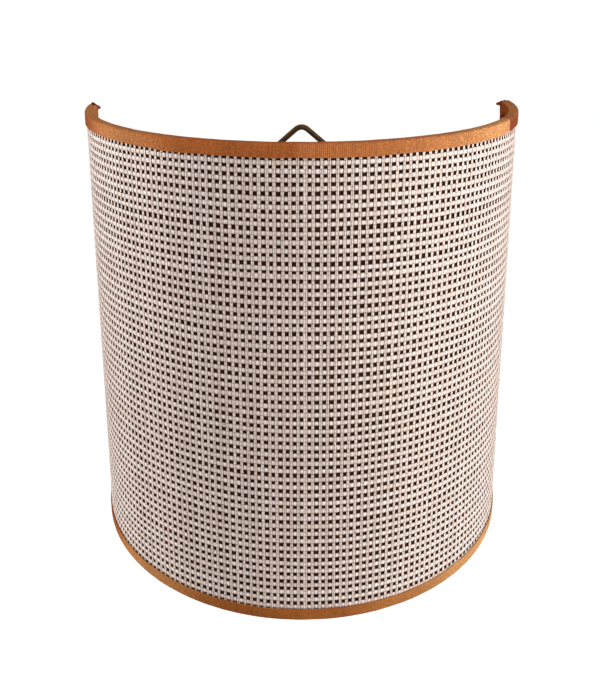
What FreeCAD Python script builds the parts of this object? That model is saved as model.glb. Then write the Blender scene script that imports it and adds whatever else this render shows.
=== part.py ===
import FreeCAD, Part
import os
import re
import Sketcher

# Half-round wall lamp shade: a raffia weave over a dark liner, ribbon-bound on a bent wire frame that hangs
# by a kink in its rear bar, with a small screw-cap lampholder and bulb inside.
# Millimetres. Origin under the hanging kink, in the wall plane. +Z up, +Y into the wall, shade towards -Y.

SIZES = {
    "top_radius": (99.8, "outer face of the weave at its top edge"),
    "bottom_radius": (110.5, "outer face of the weave at its bottom edge"),
    "shade_height": (216.8, "weave from cut edge to cut edge"),
    "cover_wall": (0.8, "two crossing raffia strands"),
    "liner_wall": (0.5, "stiff backing sheet"),
    "layer_gap": (0.05, "glue line between the layers of the shade"),
    "ribbon_wall": (0.4, "folded ribbon"),
    "ribbon_gap": (0.05, "glue line under the ribbon"),
    "ribbon_leg": (6.2, "ribbon showing outside the bottom and rear edges"),
    "top_leg": (5.0, "ribbon showing outside the top edge"),
    "ribbon_tail": (1.8, "ribbon glued to the liner past the wire"),
    "fold_radius": (0.9, "outer radius of the ribbon's fold"),
    "corner_gap": (0.2, "between the side ribbons and the edge ribbons"),
    "lap_angle": (32, "arc of the ribbon's lapped end, in degrees"),
    "wire_diameter": (2.0, "wire of the rings, struts and lower bar"),
    "hanger_diameter": (2.6, "wire of the rear bar with the kink"),
    "eye_drop": (12.4, "top edge of the weave to the underside of the kink"),
    "hanger_rise": (18.6, "height of the kink above the straight bar"),
    "hanger_slope": (40, "slope of the kink's legs, in degrees"),
    "eye_bend": (4.4, "bend at the top of the kink, at the wire's centre"),
    "foot_bend": (6.0, "bend at the kink's feet, at the wire's centre"),
    "slit_gap": (0.15, "slit in the side ribbons around a bar"),
    "lamp_reach": (48.0, "wall to the lamp's axis"),
    "lamp_height": (62.0, "bottom edge of the weave to the underside of the fitter ring"),
    "arm_diameter": (1.8, "wire of the two fitter arms"),
    "arm_spacing": (24.0, "between the fitter arms' axes"),
    "fitter_diameter": (43.0, "outside of the fitter ring"),
    "fitter_wall": (1.5, "fitter ring's sheet"),
    "fitter_fit": (0.6, "fitter ring's radial clearance on the sleeve"),
    "sleeve_diameter": (27.8, "threaded sleeve of the lampholder, over its thread"),
    "sleeve_bore": (22.5, "inside of the sleeve"),
    "sleeve_height": (28.0, "sleeve above its flange"),
    "flange_diameter": (36.0, "flange that the fitter ring rests on"),
    "flange_wall": (3.0, "that flange's thickness"),
    "spigot_depth": (9.4, "sleeve below its flange, inside the holder cap"),
    "cap_diameter": (30.0, "outside of the holder cap"),
    "cap_wall": (1.9, "holder cap's wall"),
    "cap_depth": (19.0, "straight part of the holder cap"),
    "dome_height": (6.0, "rounded lower end of the holder cap"),
    "boss_diameter": (16.0, "threaded boss under the holder cap"),
    "boss_height": (6.0, "length of that boss"),
    "ledge_width": (2.0, "step in the cap that carries the insert"),
    "holder_fit": (0.1, "radial clearance between the holder's parts"),
    "collar_wall": (3.0, "insert's collar, clamped between sleeve and cap"),
    "insert_rise": (9.0, "insert above its collar"),
    "socket_wall": (2.0, "insert's rim around the screw shell"),
    "socket_rise": (4.0, "height of that rim"),
    "shell_bore": (14.3, "inside of the screw shell"),
    "shell_wall": (0.4, "screw shell's sheet"),
    "shell_height": (24.0, "screw shell above the insert"),
    "contact_length": (10.0, "base of the centre contact"),
    "contact_width": (4.0, "centre contact's strip"),
    "contact_wall": (0.5, "centre contact's sheet"),
    "contact_height": (4.5, "centre contact's tongue above the insert"),
    "contact_gap": (0.1, "tongue to the bulb's tip"),
    "screw_spacing": (14.0, "between the terminal screws"),
    "screw_diameter": (3.0, "terminal screw's shank"),
    "screw_depth": (6.0, "terminal screw's shank inside the insert"),
    "head_diameter": (5.5, "terminal screw's head"),
    "head_height": (2.0, "terminal screw's head"),
    "inlet_diameter": (10.0, "threaded shank of the cord inlet"),
    "inlet_bore": (6.4, "way through the cord inlet"),
    "inlet_head": (14.0, "cord inlet's head"),
    "inlet_lip": (5.0, "height of that head"),
    "inlet_reach": (9.0, "inlet's shank above its head"),
    "ring_diameter": (43.0, "outside of the shade ring"),
    "ring_collar": (34.0, "collar of the shade ring"),
    "ring_height": (8.0, "shade ring"),
    "ring_rim": (2.6, "thickness of the shade ring's rim"),
    "ring_gap": (0.1, "shade ring to the fitter ring, screwed down"),
    "thread_fit": (0.1, "shade ring's radial clearance on the sleeve"),
    "flute_count": (18, "finger flutes around the shade ring"),
    "flute_radius": (2.2, "radius of a flute"),
    "flute_depth": (0.9, "depth of a flute"),
    "tip_diameter": (4.8, "bulb's contact tip"),
    "tip_height": (1.2, "bulb's contact tip"),
    "collet_height": (4.0, "black insulator between the bulb's tip and cap"),
    "base_diameter": (13.9, "bulb's screw cap, over its thread"),
    "base_wall": (0.3, "bulb cap's sheet"),
    "base_height": (18.0, "bulb's screw cap"),
    "glass_gap": (0.05, "cement between the bulb's glass and cap"),
    "globe_diameter": (45.0, "bulb's globe"),
    "globe_wall": (0.8, "bulb's glass"),
    "neck_depth": (4.0, "glass inside the bulb's cap"),
    "neck_rise": (1.0, "straight neck above the cap"),
    "neck_bend": (18.0, "hollow curve between neck and globe"),
    "stem_height": (24.0, "glass stem up to the lower filament plate"),
    "stem_radius": (2.2, "top of the glass stem"),
    "plate_radius": (4.8, "filament plates"),
    "plate_wall": (0.7, "filament plates"),
    "post_radius": (0.7, "post between the filament plates"),
    "filament_length": (20.0, "filaments, plate to plate"),
    "filament_radius": (0.9, "filaments"),
    "filament_circle": (3.6, "radius that the filaments stand on"),
    "filament_count": (4, "filaments in the bulb"),
}

HALF_TURN = "180"
FULL_TURN = "360"
HALF_FOLD = "tan(22.5)"

doc = FreeCAD.newDocument("raffia_wall_lamp")
sheet = doc.addObject("Spreadsheet::Sheet", "Sizes")
for row, (name, (size, note)) in enumerate(SIZES.items(), start=1):
    sheet.set(f"A{row}", name)
    sheet.set(f"B{row}", str(size))
    sheet.set(f"C{row}", note)
    sheet.setAlias(f"B{row}", name)
doc.recompute()

nodes = []


def bound(text):
    """The expression with each size's name pointing at its cell."""
    return re.sub(r"[a-z_]+", lambda word: f"Sizes.{word[0]}" if word[0] in SIZES else word[0], text)


def value(text):
    return float(sheet.evalExpression(bound(text)))


def bind(thing, **expressions):
    for path, text in expressions.items():
        thing.setExpression(path.replace("__", "."), bound(text))


def place(thing, x="0", y="0", z="0"):
    bind(thing, Placement__Base__x=x, Placement__Base__y=y, Placement__Base__z=z)
    return thing


def node(thing, label):
    """Name a finished sub-part."""
    thing.Label = label
    nodes.append(thing)
    return thing


def origin_plane(body, role):
    return next(plane for plane in body.Origin.OriginFeatures if plane.Role == role)


def empty_sketch(body, name, role):
    sketch = body.newObject("Sketcher::SketchObject", name)
    sketch.AttachmentSupport = [(origin_plane(body, role), "")]
    sketch.MapMode = "FlatFace"
    return sketch


def pin_across(sketch, geometry, end, kind, text):
    """Hold one coordinate of a point of the sketch."""
    index = sketch.addConstraint(Sketcher.Constraint(kind, -1, 1, geometry, end, value(text)))
    sketch.setExpression(f"Constraints[{index}]", bound(text))


def pin_point(sketch, geometry, end, x, y):
    pin_across(sketch, geometry, end, "DistanceX", x)
    pin_across(sketch, geometry, end, "DistanceY", y)


def round_section(sketch, x, radius):
    """A circle on the sketch's level axis."""
    circle = Part.Circle(FreeCAD.Vector(value(x), 0, 0), FreeCAD.Vector(0, 0, 1), value(radius))
    geometry = sketch.addGeometry(circle, False)
    pin_point(sketch, geometry, 3, x, "0")
    index = sketch.addConstraint(Sketcher.Constraint("Radius", geometry, value(radius)))
    sketch.setExpression(f"Constraints[{index}]", bound(radius))


def arc_between(start, end, centre_x):
    """The arc of under a half turn whose centre lies at centre_x, and whether it runs from start to end."""
    middle = (start + end) / 2
    chord = end - start
    centre_y = middle.y - (centre_x - middle.x) * chord.x / chord.y
    centre = FreeCAD.Vector(centre_x, centre_y, 0)
    forward = (start - centre).cross(end - centre).z > 0
    first, last = (start, end) if forward else (end, start)
    circle = Part.Circle(centre, FreeCAD.Vector(0, 0, 1), (start - centre).Length)
    return Part.ArcOfCircle(circle, circle.parameter(first), circle.parameter(last)), forward


def outline(body, name, role, corners, closed=True):
    """A sketch through the corners. A corner's third item is the centre of the arc that leads on from it."""
    sketch = empty_sketch(body, name, role)
    points = [FreeCAD.Vector(value(corner[0]), value(corner[1]), 0) for corner in corners]
    runs = len(corners) if closed else len(corners) - 1
    ends = []
    for i in range(runs):
        start, end = points[i], points[(i + 1) % len(points)]
        forward = True
        if len(corners[i]) == 3:
            curve, forward = arc_between(start, end, value(corners[i][2]))
        else:
            curve = Part.LineSegment(start, end)
        ends.append((sketch.addGeometry(curve, False), (1, 2) if forward else (2, 1)))
    for i, (geometry, (first, last)) in enumerate(ends):
        pin_point(sketch, geometry, first, corners[i][0], corners[i][1])
        if len(corners[i]) == 3:
            pin_across(sketch, geometry, 3, "DistanceX", corners[i][2])
        if closed or i + 1 < runs:
            following, (entry, _) = ends[(i + 1) % runs]
            sketch.addConstraint(Sketcher.Constraint("Coincident", geometry, last, following, entry))
    if not closed:
        pin_point(sketch, ends[-1][0], ends[-1][1][1], corners[-1][0], corners[-1][1])
    return sketch


def revolved(name, corners, angle=FULL_TURN):
    """A body turned about Z, from +X towards -Y."""
    body = doc.addObject("PartDesign::Body", name)
    sketch = outline(body, name + "_profile", "XZ_Plane", corners)
    turn = body.newObject("PartDesign::Revolution", name + "_turn")
    turn.Profile = sketch
    turn.ReferenceAxis = (sketch, ["V_Axis"])
    turn.Reversed = True
    bind(turn, Angle=angle)
    return body


def extruded(name, corners, length, role="XY_Plane"):
    body = doc.addObject("PartDesign::Body", name)
    pad = body.newObject("PartDesign::Pad", name + "_pad")
    pad.Profile = outline(body, name + "_profile", role, corners)
    bind(pad, Length=length)
    return body


def rod(name, radius, length):
    cylinder = doc.addObject("Part::Cylinder", name)
    bind(cylinder, Radius=radius, Height=length)
    return cylinder


def turned(thing, axis, angle):
    """Turn a primitive about its own base."""
    thing.Placement.Rotation = FreeCAD.Rotation(FreeCAD.Vector(*axis), value(angle))
    bind(thing, Placement__Rotation__Angle=angle)
    return thing


def cut(name, base, *tools):
    for i, tool in enumerate(tools):
        result = doc.addObject("Part::Cut", f"{name}_cut_{i}")
        result.Base = base
        result.Tool = tool
        base = result
    return base


def mirrored(name, source):
    """The left-hand twin of a right-hand piece."""
    twin = doc.addObject("Part::Mirroring", name)
    twin.Source = source
    twin.Normal = FreeCAD.Vector(1, 0, 0)
    return twin


def group(name, things):
    bundle = doc.addObject("Part::Compound", name)
    bundle.Links = things
    return bundle


# Shade. Heights count from the weave's bottom edge, insets inwards from the weave's outer face.
SLOPE = "(bottom_radius - top_radius) / shade_height"
FLARE = f"atan({SLOPE})"
BACKING = "(cover_wall + layer_gap + liner_wall)"
WIRE_INSET = f"({BACKING} + layer_gap + wire_diameter / 2)"
BUNDLE = f"({BACKING} + layer_gap + wire_diameter)"
AXIS_Y = "-(ribbon_gap + ribbon_wall)"
WIRE_Y = f"{AXIS_Y} - wire_diameter / 2"
HANGER_Y = f"{AXIS_Y} - hanger_diameter / 2"
TAIL_END = "(2 * wire_diameter + ribbon_tail)"
SHADE_Z = "eye_drop - shade_height"


def face_radius(height):
    return f"(bottom_radius - {SLOPE} * ({height}))"


def half_shell(name, outer_inset, wall):
    inner_inset = f"({outer_inset} + {wall})"
    corners = [
        (f"bottom_radius - {outer_inset}", "0"),
        (f"top_radius - {outer_inset}", "shade_height"),
        (f"top_radius - {inner_inset}", "shade_height"),
        (f"bottom_radius - {inner_inset}", "0"),
    ]
    return place(revolved(name, corners, HALF_TURN), y=AXIS_Y, z=SHADE_Z)


def ribbon_section(under, leg, sag="0"):
    """The folded ribbon's outline as insets and depths from the cut edge, glued on at a distance of under.

    The tail stands off the liner by sag, where the liner curves away from a straight ribbon.
    """
    over = f"({under} + ribbon_wall)"
    bend = f"(fold_radius - {over})"
    tail_inset = f"({BACKING} + {sag})"
    return [
        (f"-{over}", leg),
        (f"-{over}", bend, bend),
        (bend, f"-{over}"),
        (f"{BUNDLE} - {bend}", f"-{over}", f"{BUNDLE} - {bend}"),
        (f"{BUNDLE} + {over}", bend),
        (f"{BUNDLE} + {over}", f"wire_diameter + {over} * {HALF_FOLD}"),
        (f"{tail_inset} + {over}", f"2 * wire_diameter + {over} * {HALF_FOLD}"),
        (f"{tail_inset} + {over}", TAIL_END),
        (f"{tail_inset} + {under}", TAIL_END),
        (f"{tail_inset} + {under}", f"2 * wire_diameter + {under} * {HALF_FOLD}"),
        (f"{BUNDLE} + {under}", f"wire_diameter + {under} * {HALF_FOLD}"),
        (f"{BUNDLE} + {under}", f"-{under}"),
        (f"-{under}", f"-{under}"),
        (f"-{under}", leg),
    ]


def edge_ribbon(name, at_top, under, angle):
    """A ribbon folded over the shade's top or bottom edge and the ring inside it."""
    corners = []
    for inset, depth, *bend in ribbon_section(under, "top_leg" if at_top else "ribbon_leg"):
        height = f"(shade_height - ({depth}))" if at_top else f"({depth})"
        corner = [f"{face_radius(height)} - ({inset})", height]
        if bend:
            corner.append(f"{face_radius(height)} - ({bend[0]})")
        corners.append(corner)
    return place(revolved(name, corners, angle), y=AXIS_Y, z=SHADE_Z)


def edge_ring(name, height):
    """Half-round frame wire against the liner."""
    ring = doc.addObject("Part::Torus", name)
    bind(ring, Radius1=f"{face_radius(height)} - {WIRE_INSET}", Radius2="wire_diameter / 2", Angle3=HALF_TURN)
    turned(ring, (0, 0, 1), HALF_TURN)
    return place(ring, y=AXIS_Y, z=f"{SHADE_Z} + {height}")


def strut_x(height):
    return f"({face_radius(height)} - {WIRE_INSET})"


def bar_end(height, diameter):
    """Where the square end of a level bar meets the leaning strut."""
    return f"({strut_x(height)} - wire_diameter / 2 / cos({FLARE}) - {diameter} / 2 * {SLOPE})"


def strut_notch(name, height):
    """Room for a strut where an edge ribbon's inner leg turns back to the liner."""
    notch = doc.addObject("Part::Box", name)
    bind(notch, Length="3 * wire_diameter", Width="wire_diameter + 2 * slit_gap",
         Height="wire_diameter + ribbon_tail + slit_gap")
    place(notch, x=f"{strut_x(height)} - 2 * wire_diameter", y=f"{AXIS_Y} - wire_diameter - slit_gap",
          z=f"{SHADE_Z} + {height}")
    return notch, mirrored(name + "Twin", notch)


NOTCH_BOTTOM = "wire_diameter"
NOTCH_TOP = f"(shade_height - {TAIL_END} - slit_gap)"
top_notch, top_notch_twin = strut_notch("TopNotch", NOTCH_TOP)
bottom_notches = strut_notch("BottomNotch", NOTCH_BOTTOM)

node(half_shell("Cover", "0", "cover_wall"), "raffia_cover")
node(half_shell("Liner", "(cover_wall + layer_gap)", "liner_wall"), "liner")
top_fold = edge_ribbon("TopFold", True, "ribbon_gap", HALF_TURN)
node(cut("TopTrim", top_fold, top_notch, top_notch_twin), "top_trim")
bottom_fold = edge_ribbon("BottomFold", False, "ribbon_gap", HALF_TURN)
node(cut("BottomTrim", bottom_fold, *bottom_notches), "bottom_trim")
lap_fold = edge_ribbon("LapFold", True, "(2 * ribbon_gap + ribbon_wall)", "lap_angle")
node(cut("TrimLap", lap_fold, top_notch), "trim_lap")
node(edge_ring("TopRing", "(shade_height - wire_diameter / 2)"), "top_ring")
node(edge_ring("BottomRing", "(wire_diameter / 2)"), "bottom_ring")

# Struts up the two rear edges, between the rings.
strut = rod("Strut", "wire_diameter / 2", f"(shade_height - 2 * wire_diameter) / cos({FLARE})")
turned(strut, (0, -1, 0), FLARE)
place(strut, x=strut_x("wire_diameter"), y=WIRE_Y, z=f"{SHADE_Z} + wire_diameter")
node(strut, "strut_right")
node(mirrored("StrutTwin", strut), "strut_left")

# Rear bar with its hanging kink, one bent wire. Heights count from the straight part of the bar.
BAR_Z = "(hanger_diameter / 2 - hanger_rise)"
BAR_HEIGHT = f"(shade_height - eye_drop + {BAR_Z})"
BAR_END = bar_end(BAR_HEIGHT, "hanger_diameter")
BENDS = "(eye_bend + foot_bend)"
FOOT_X = (
    f"({BENDS} * sin(hanger_slope)"
    f" + (hanger_rise - {BENDS} * (1 - cos(hanger_slope))) / tan(hanger_slope))"
)
LEG_FOOT_X = f"({FOOT_X} - foot_bend * sin(hanger_slope))"
LEG_FOOT_Z = "foot_bend * (1 - cos(hanger_slope))"
LEG_TOP_X = "eye_bend * sin(hanger_slope)"
LEG_TOP_Z = "hanger_rise - eye_bend * (1 - cos(hanger_slope))"
hanger = doc.addObject("PartDesign::Body", "Hanger")
hanger_path = outline(hanger, "Hanger_path", "XZ_Plane", [
    (f"-{BAR_END}", "0"),
    (f"-{FOOT_X}", "0", f"-{FOOT_X}"),
    (f"-{LEG_FOOT_X}", LEG_FOOT_Z),
    (f"-{LEG_TOP_X}", LEG_TOP_Z, "0"),
    ("0", "hanger_rise", "0"),
    (LEG_TOP_X, LEG_TOP_Z),
    (LEG_FOOT_X, LEG_FOOT_Z, FOOT_X),
    (FOOT_X, "0"),
    (BAR_END, "0"),
], closed=False)
hanger_section = empty_sketch(hanger, "Hanger_section", "YZ_Plane")
bind(hanger_section, AttachmentOffset__Base__z=f"-{BAR_END}")
round_section(hanger_section, "0", "hanger_diameter / 2")
hanger_pipe = hanger.newObject("PartDesign::AdditivePipe", "Hanger_pipe")
hanger_pipe.Profile = hanger_section
hanger_pipe.Spine = (hanger_path, [f"Edge{i + 1}" for i in range(hanger_path.GeometryCount)])
place(hanger, y=HANGER_Y, z=BAR_Z)
node(hanger, "hanger_bar")

# Lower cross bar, with two arms forward to the fitter ring.
LAMP_Z = f"({SHADE_Z} + lamp_height)"
LAMP_BAR_HEIGHT = "(lamp_height + fitter_wall / 2)"
LAMP_BAR_END = bar_end(LAMP_BAR_HEIGHT, "wire_diameter")
lamp_bar = rod("LampBar", "wire_diameter / 2", f"2 * {LAMP_BAR_END}")
turned(lamp_bar, (0, 1, 0), "90")
place(lamp_bar, x=f"-{LAMP_BAR_END}", y=WIRE_Y, z=f"{SHADE_Z} + {LAMP_BAR_HEIGHT}")
node(lamp_bar, "lamp_bar")

fitter_disc = rod("FitterDisc", "fitter_diameter / 2", "arm_diameter + fitter_wall")
place(fitter_disc, y="-lamp_reach", z=f"{LAMP_Z} - arm_diameter / 2")
arm_rod = rod("ArmRod", "arm_diameter / 2", f"lamp_reach + {WIRE_Y}")
turned(arm_rod, (1, 0, 0), "90")
place(arm_rod, x="arm_spacing / 2", y=WIRE_Y, z=f"{SHADE_Z} + {LAMP_BAR_HEIGHT}")
fitter_arm = cut("Arm", arm_rod, lamp_bar, fitter_disc)
node(fitter_arm, "fitter_arm_right")
node(mirrored("ArmTwin", fitter_arm), "fitter_arm_left")

# Ribbons up the rear edges, slit where the bars meet the struts, with a flap over the edge ribbons' ends.
SIDE_START = f"(max(ribbon_leg; {TAIL_END}) + corner_gap)"
SIDE_END = f"(max(top_leg; {TAIL_END}) + corner_gap)"
SIDE_LENGTH = f"(shade_height / cos({FLARE}))"
SIDE_SAG = f"{TAIL_END}^2 / (2 * top_radius)"
RIBBON_OVER = "(ribbon_gap + ribbon_wall)"
side = doc.addObject("PartDesign::Body", "Side")
side_corners = []
for inset, depth, *bend in ribbon_section("ribbon_gap", "ribbon_leg", SIDE_SAG):
    corner = [f"-({inset})", f"-({depth})"]
    if bend:
        corner.append(f"-({bend[0]})")
    side_corners.append(corner)
side_fold = outline(side, "Side_fold", "XY_Plane", side_corners)
bind(side_fold, AttachmentOffset__Base__z=SIDE_START)
side_pad = side.newObject("PartDesign::Pad", "Side_pad")
side_pad.Profile = side_fold
bind(side_pad, Length=f"{SIDE_LENGTH} - {SIDE_START} - {SIDE_END}")
side_flap = outline(side, "Side_flap", "XY_Plane", [
    (f"{RIBBON_OVER} - fold_radius", "ribbon_gap"),
    (f"{RIBBON_OVER} - fold_radius", RIBBON_OVER),
    (f"fold_radius - {BUNDLE} - {RIBBON_OVER}", RIBBON_OVER),
    (f"fold_radius - {BUNDLE} - {RIBBON_OVER}", "ribbon_gap"),
])
flap_pad = side.newObject("PartDesign::Pad", "Side_flap_pad")
flap_pad.Profile = side_flap
bind(flap_pad, Length=SIDE_LENGTH)
turned(side, (0, -1, 0), FLARE)
place(side, x="bottom_radius", y=AXIS_Y, z=SHADE_Z)
slits = []
for name, height, diameter, bar_y in (
    ("HangerSlit", BAR_HEIGHT, "hanger_diameter", HANGER_Y),
    ("LampSlit", LAMP_BAR_HEIGHT, "wire_diameter", WIRE_Y),
):
    slit = rod(name, f"{diameter} / 2 + slit_gap", "2 * wire_diameter")
    turned(slit, (0, -1, 0), "90")
    slits.append(place(slit, x=strut_x(height), y=bar_y, z=f"{SHADE_Z} + {height}"))
side_trim = cut("SideTrim", side, *slits)
node(side_trim, "side_trim_right")
node(mirrored("SideTrimTwin", side_trim), "side_trim_left")

# Fitter ring and lampholder, upright on the lamp's axis. Heights count from the underside of the fitter ring.
SPIGOT_END = "(flange_wall + spigot_depth)"
SPIGOT_RADIUS = "(cap_diameter / 2 - cap_wall - holder_fit)"
CAP_BORE = "(cap_diameter / 2 - cap_wall)"
LEDGE_RADIUS = f"({CAP_BORE} - ledge_width)"
LEDGE_Z = f"-({SPIGOT_END} + collar_wall)"
CAP_END = "(flange_wall + cap_depth)"
BOSS_TOP = f"({CAP_END} + dome_height)"
BOSS_END = f"({BOSS_TOP} + boss_height)"
INLET_RADIUS = "(inlet_diameter / 2 + holder_fit)"
INSERT_TOP = f"(insert_rise - {SPIGOT_END})"
SHELL_RADIUS = "(shell_bore / 2 + shell_wall)"


def on_lamp_axis(name, label, corners):
    """A turned piece on the lamp's axis."""
    return node(place(revolved(name, corners), y="-lamp_reach", z=LAMP_Z), label)


def tube(inner, outer, bottom, top):
    return [(inner, bottom), (outer, bottom), (outer, top), (inner, top)]


on_lamp_axis("Fitter", "fitter_ring", tube(
    "sleeve_diameter / 2 + fitter_fit", "fitter_diameter / 2", "0", "fitter_wall"))
on_lamp_axis("Sleeve", "holder_sleeve", [
    ("sleeve_bore / 2", f"-{SPIGOT_END}"),
    (SPIGOT_RADIUS, f"-{SPIGOT_END}"),
    (SPIGOT_RADIUS, "-flange_wall"),
    ("flange_diameter / 2", "-flange_wall"),
    ("flange_diameter / 2", "0"),
    ("sleeve_diameter / 2", "0"),
    ("sleeve_diameter / 2", "sleeve_height"),
    ("sleeve_bore / 2", "sleeve_height"),
])
on_lamp_axis("HolderCap", "holder_cap", [
    (CAP_BORE, "-flange_wall"),
    ("cap_diameter / 2", "-flange_wall"),
    ("cap_diameter / 2", f"-{CAP_END}", "cap_diameter / 2 - dome_height"),
    ("cap_diameter / 2 - dome_height", f"-{BOSS_TOP}"),
    ("boss_diameter / 2", f"-{BOSS_TOP}"),
    ("boss_diameter / 2", f"-{BOSS_END}"),
    (INLET_RADIUS, f"-{BOSS_END}"),
    (INLET_RADIUS, f"-{BOSS_TOP} + cap_wall"),
    (f"{LEDGE_RADIUS} - cap_wall", f"-{BOSS_TOP} + cap_wall"),
    (LEDGE_RADIUS, f"-{CAP_END}"),
    (LEDGE_RADIUS, LEDGE_Z),
    (CAP_BORE, LEDGE_Z),
])
insert = revolved("Insert", [
    ("0", LEDGE_Z),
    (f"{CAP_BORE} - holder_fit", LEDGE_Z),
    (f"{CAP_BORE} - holder_fit", f"-{SPIGOT_END}"),
    ("sleeve_bore / 2 - holder_fit", f"-{SPIGOT_END}"),
    ("sleeve_bore / 2 - holder_fit", INSERT_TOP),
    (f"{SHELL_RADIUS} + holder_fit + socket_wall", INSERT_TOP),
    (f"{SHELL_RADIUS} + holder_fit + socket_wall", f"{INSERT_TOP} + socket_rise"),
    (f"{SHELL_RADIUS} + holder_fit", f"{INSERT_TOP} + socket_rise"),
    (f"{SHELL_RADIUS} + holder_fit", INSERT_TOP),
    ("0", INSERT_TOP),
])
place(insert, y="-lamp_reach", z=LAMP_Z)
screw_holes = []
screws = []
for name, side_x in (("ScrewRight", "screw_spacing / 2"), ("ScrewLeft", "-screw_spacing / 2")):
    hole = rod(name + "Hole", "screw_diameter / 2 + holder_fit", "screw_depth + holder_fit")
    screw_holes.append(place(hole, x=side_x, y="-lamp_reach", z=f"{LAMP_Z} + {LEDGE_Z}"))
    screw = revolved(name, [
        ("0", "-head_height"),
        ("head_diameter / 2", "-head_height"),
        ("head_diameter / 2", "0"),
        ("screw_diameter / 2", "0"),
        ("screw_diameter / 2", "screw_depth"),
        ("0", "screw_depth"),
    ])
    screws.append(place(screw, x=side_x, y="-lamp_reach", z=f"{LAMP_Z} + {LEDGE_Z}"))
node(cut("InsertDrilled", insert, *screw_holes), "holder_insert")
node(group("TerminalScrews", screws), "terminal_screws")
on_lamp_axis("ScrewShell", "screw_shell", tube(
    "shell_bore / 2", SHELL_RADIUS, INSERT_TOP, f"{INSERT_TOP} + shell_height"))
on_lamp_axis("Inlet", "cord_inlet", [
    ("inlet_bore / 2", f"-{BOSS_END} - inlet_lip"),
    ("inlet_head / 2", f"-{BOSS_END} - inlet_lip"),
    ("inlet_head / 2", f"-{BOSS_END}"),
    ("inlet_diameter / 2", f"-{BOSS_END}"),
    ("inlet_diameter / 2", f"-{BOSS_END} + inlet_reach"),
    ("inlet_bore / 2", f"-{BOSS_END} + inlet_reach"),
])

contact = extruded("Contact", [
    ("-contact_length / 2", "0"),
    ("contact_length / 2", "0"),
    ("contact_length / 2", "contact_wall"),
    ("contact_wall - contact_length / 2", "contact_wall"),
    ("contact_wall - contact_length / 2", "contact_height / 2 - contact_wall"),
    ("contact_width / 2", "contact_height - contact_wall"),
    ("contact_width / 2", "contact_height"),
    ("-contact_width / 2", "contact_height"),
    ("-contact_length / 2", "contact_height / 2"),
], "contact_width", role="XZ_Plane")
place(contact, y="-lamp_reach + contact_width / 2", z=f"{LAMP_Z} + {INSERT_TOP}")
node(contact, "centre_contact")

# Shade ring, screwed down on the sleeve over the fitter ring, with finger flutes around its rim.
RING_Z = "(fitter_wall + ring_gap)"
shade_ring = revolved("ShadeRing", [
    ("sleeve_diameter / 2 + thread_fit", RING_Z),
    ("ring_diameter / 2", RING_Z),
    ("ring_diameter / 2", f"{RING_Z} + ring_rim"),
    ("ring_collar / 2", f"{RING_Z} + ring_rim"),
    ("ring_collar / 2", f"{RING_Z} + ring_height"),
    ("sleeve_diameter / 2 + thread_fit", f"{RING_Z} + ring_height"),
])
flute_sketch = empty_sketch(shade_ring, "Flute_circle", "XY_Plane")
round_section(flute_sketch, "ring_diameter / 2 + flute_radius - flute_depth", "flute_radius")
flute = shade_ring.newObject("PartDesign::Pocket", "Flute")
flute.Profile = flute_sketch
flute.Type = "ThroughAll"
flute.Midplane = True
flutes = shade_ring.newObject("PartDesign::PolarPattern", "Flutes")
flutes.Originals = [flute]
flutes.Axis = (flute_sketch, ["N_Axis"])
flutes.Angle = float(FULL_TURN)
bind(flutes, Occurrences="flute_count")
shade_ring.Tip = flutes
place(shade_ring, y="-lamp_reach", z=LAMP_Z)
node(shade_ring, "shade_ring")

# Bulb, screwed in down to the centre contact.
TIP_Z = f"({INSERT_TOP} + contact_height + contact_gap)"
COLLET_Z = f"({TIP_Z} + tip_height)"
BASE_Z = f"({COLLET_Z} + collet_height)"
BASE_TOP = f"({BASE_Z} + base_height)"
BASE_BORE = "(base_diameter / 2 - base_wall)"
NECK_RADIUS = f"({BASE_BORE} - glass_gap)"
NECK_Z = f"({BASE_TOP} - neck_depth)"
NECK_TOP = f"({BASE_TOP} + neck_rise)"
NECK_INSIDE = f"({NECK_RADIUS} - globe_wall)"
GLOBE_RISE = f"sqrt((globe_diameter / 2 + neck_bend)^2 - ({NECK_RADIUS} + neck_bend)^2)"
GLOBE_Z = f"({NECK_TOP} + {GLOBE_RISE})"


def globe_side(wall):
    """The globe's profile, neck to crown, inset by a wall: the hollow curve and the ball meet on one line."""
    ball = f"(globe_diameter / 2 - {wall})"
    share = f"{ball} / (globe_diameter / 2 + neck_bend)"
    bend_x = f"({NECK_RADIUS} + neck_bend)"
    return [
        (f"{NECK_RADIUS} - {wall}", NECK_TOP, bend_x),
        (f"{share} * {bend_x}", f"{GLOBE_Z} - {share} * {GLOBE_RISE}", "0"),
        ("0", f"{GLOBE_Z} + {ball}"),
    ]


def reversed_side(corners):
    """The same profile walked the other way: each arc's centre moves to the corner that it then leaves."""
    centres = [corner[2:] for corner in corners]
    walked = []
    for i in range(len(corners) - 1, -1, -1):
        walked.append(corners[i][:2] + (centres[i - 1] if i else ()))
    return walked


on_lamp_axis("Globe", "bulb_globe", [
    (NECK_INSIDE, NECK_Z),
    (NECK_RADIUS, NECK_Z),
    *globe_side("0"),
    *reversed_side(globe_side("globe_wall")),
])
on_lamp_axis("BulbTip", "bulb_tip", [
    ("0", TIP_Z),
    ("tip_diameter / 2 - tip_height / 2", TIP_Z),
    ("tip_diameter / 2", COLLET_Z),
    ("0", COLLET_Z),
])
on_lamp_axis("Collet", "bulb_insulator", [
    ("0", COLLET_Z),
    ("tip_diameter / 2", COLLET_Z),
    (BASE_BORE, BASE_Z),
    ("0", BASE_Z),
])
on_lamp_axis("BulbBase", "bulb_cap", tube(BASE_BORE, "base_diameter / 2", BASE_Z, BASE_TOP))

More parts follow.
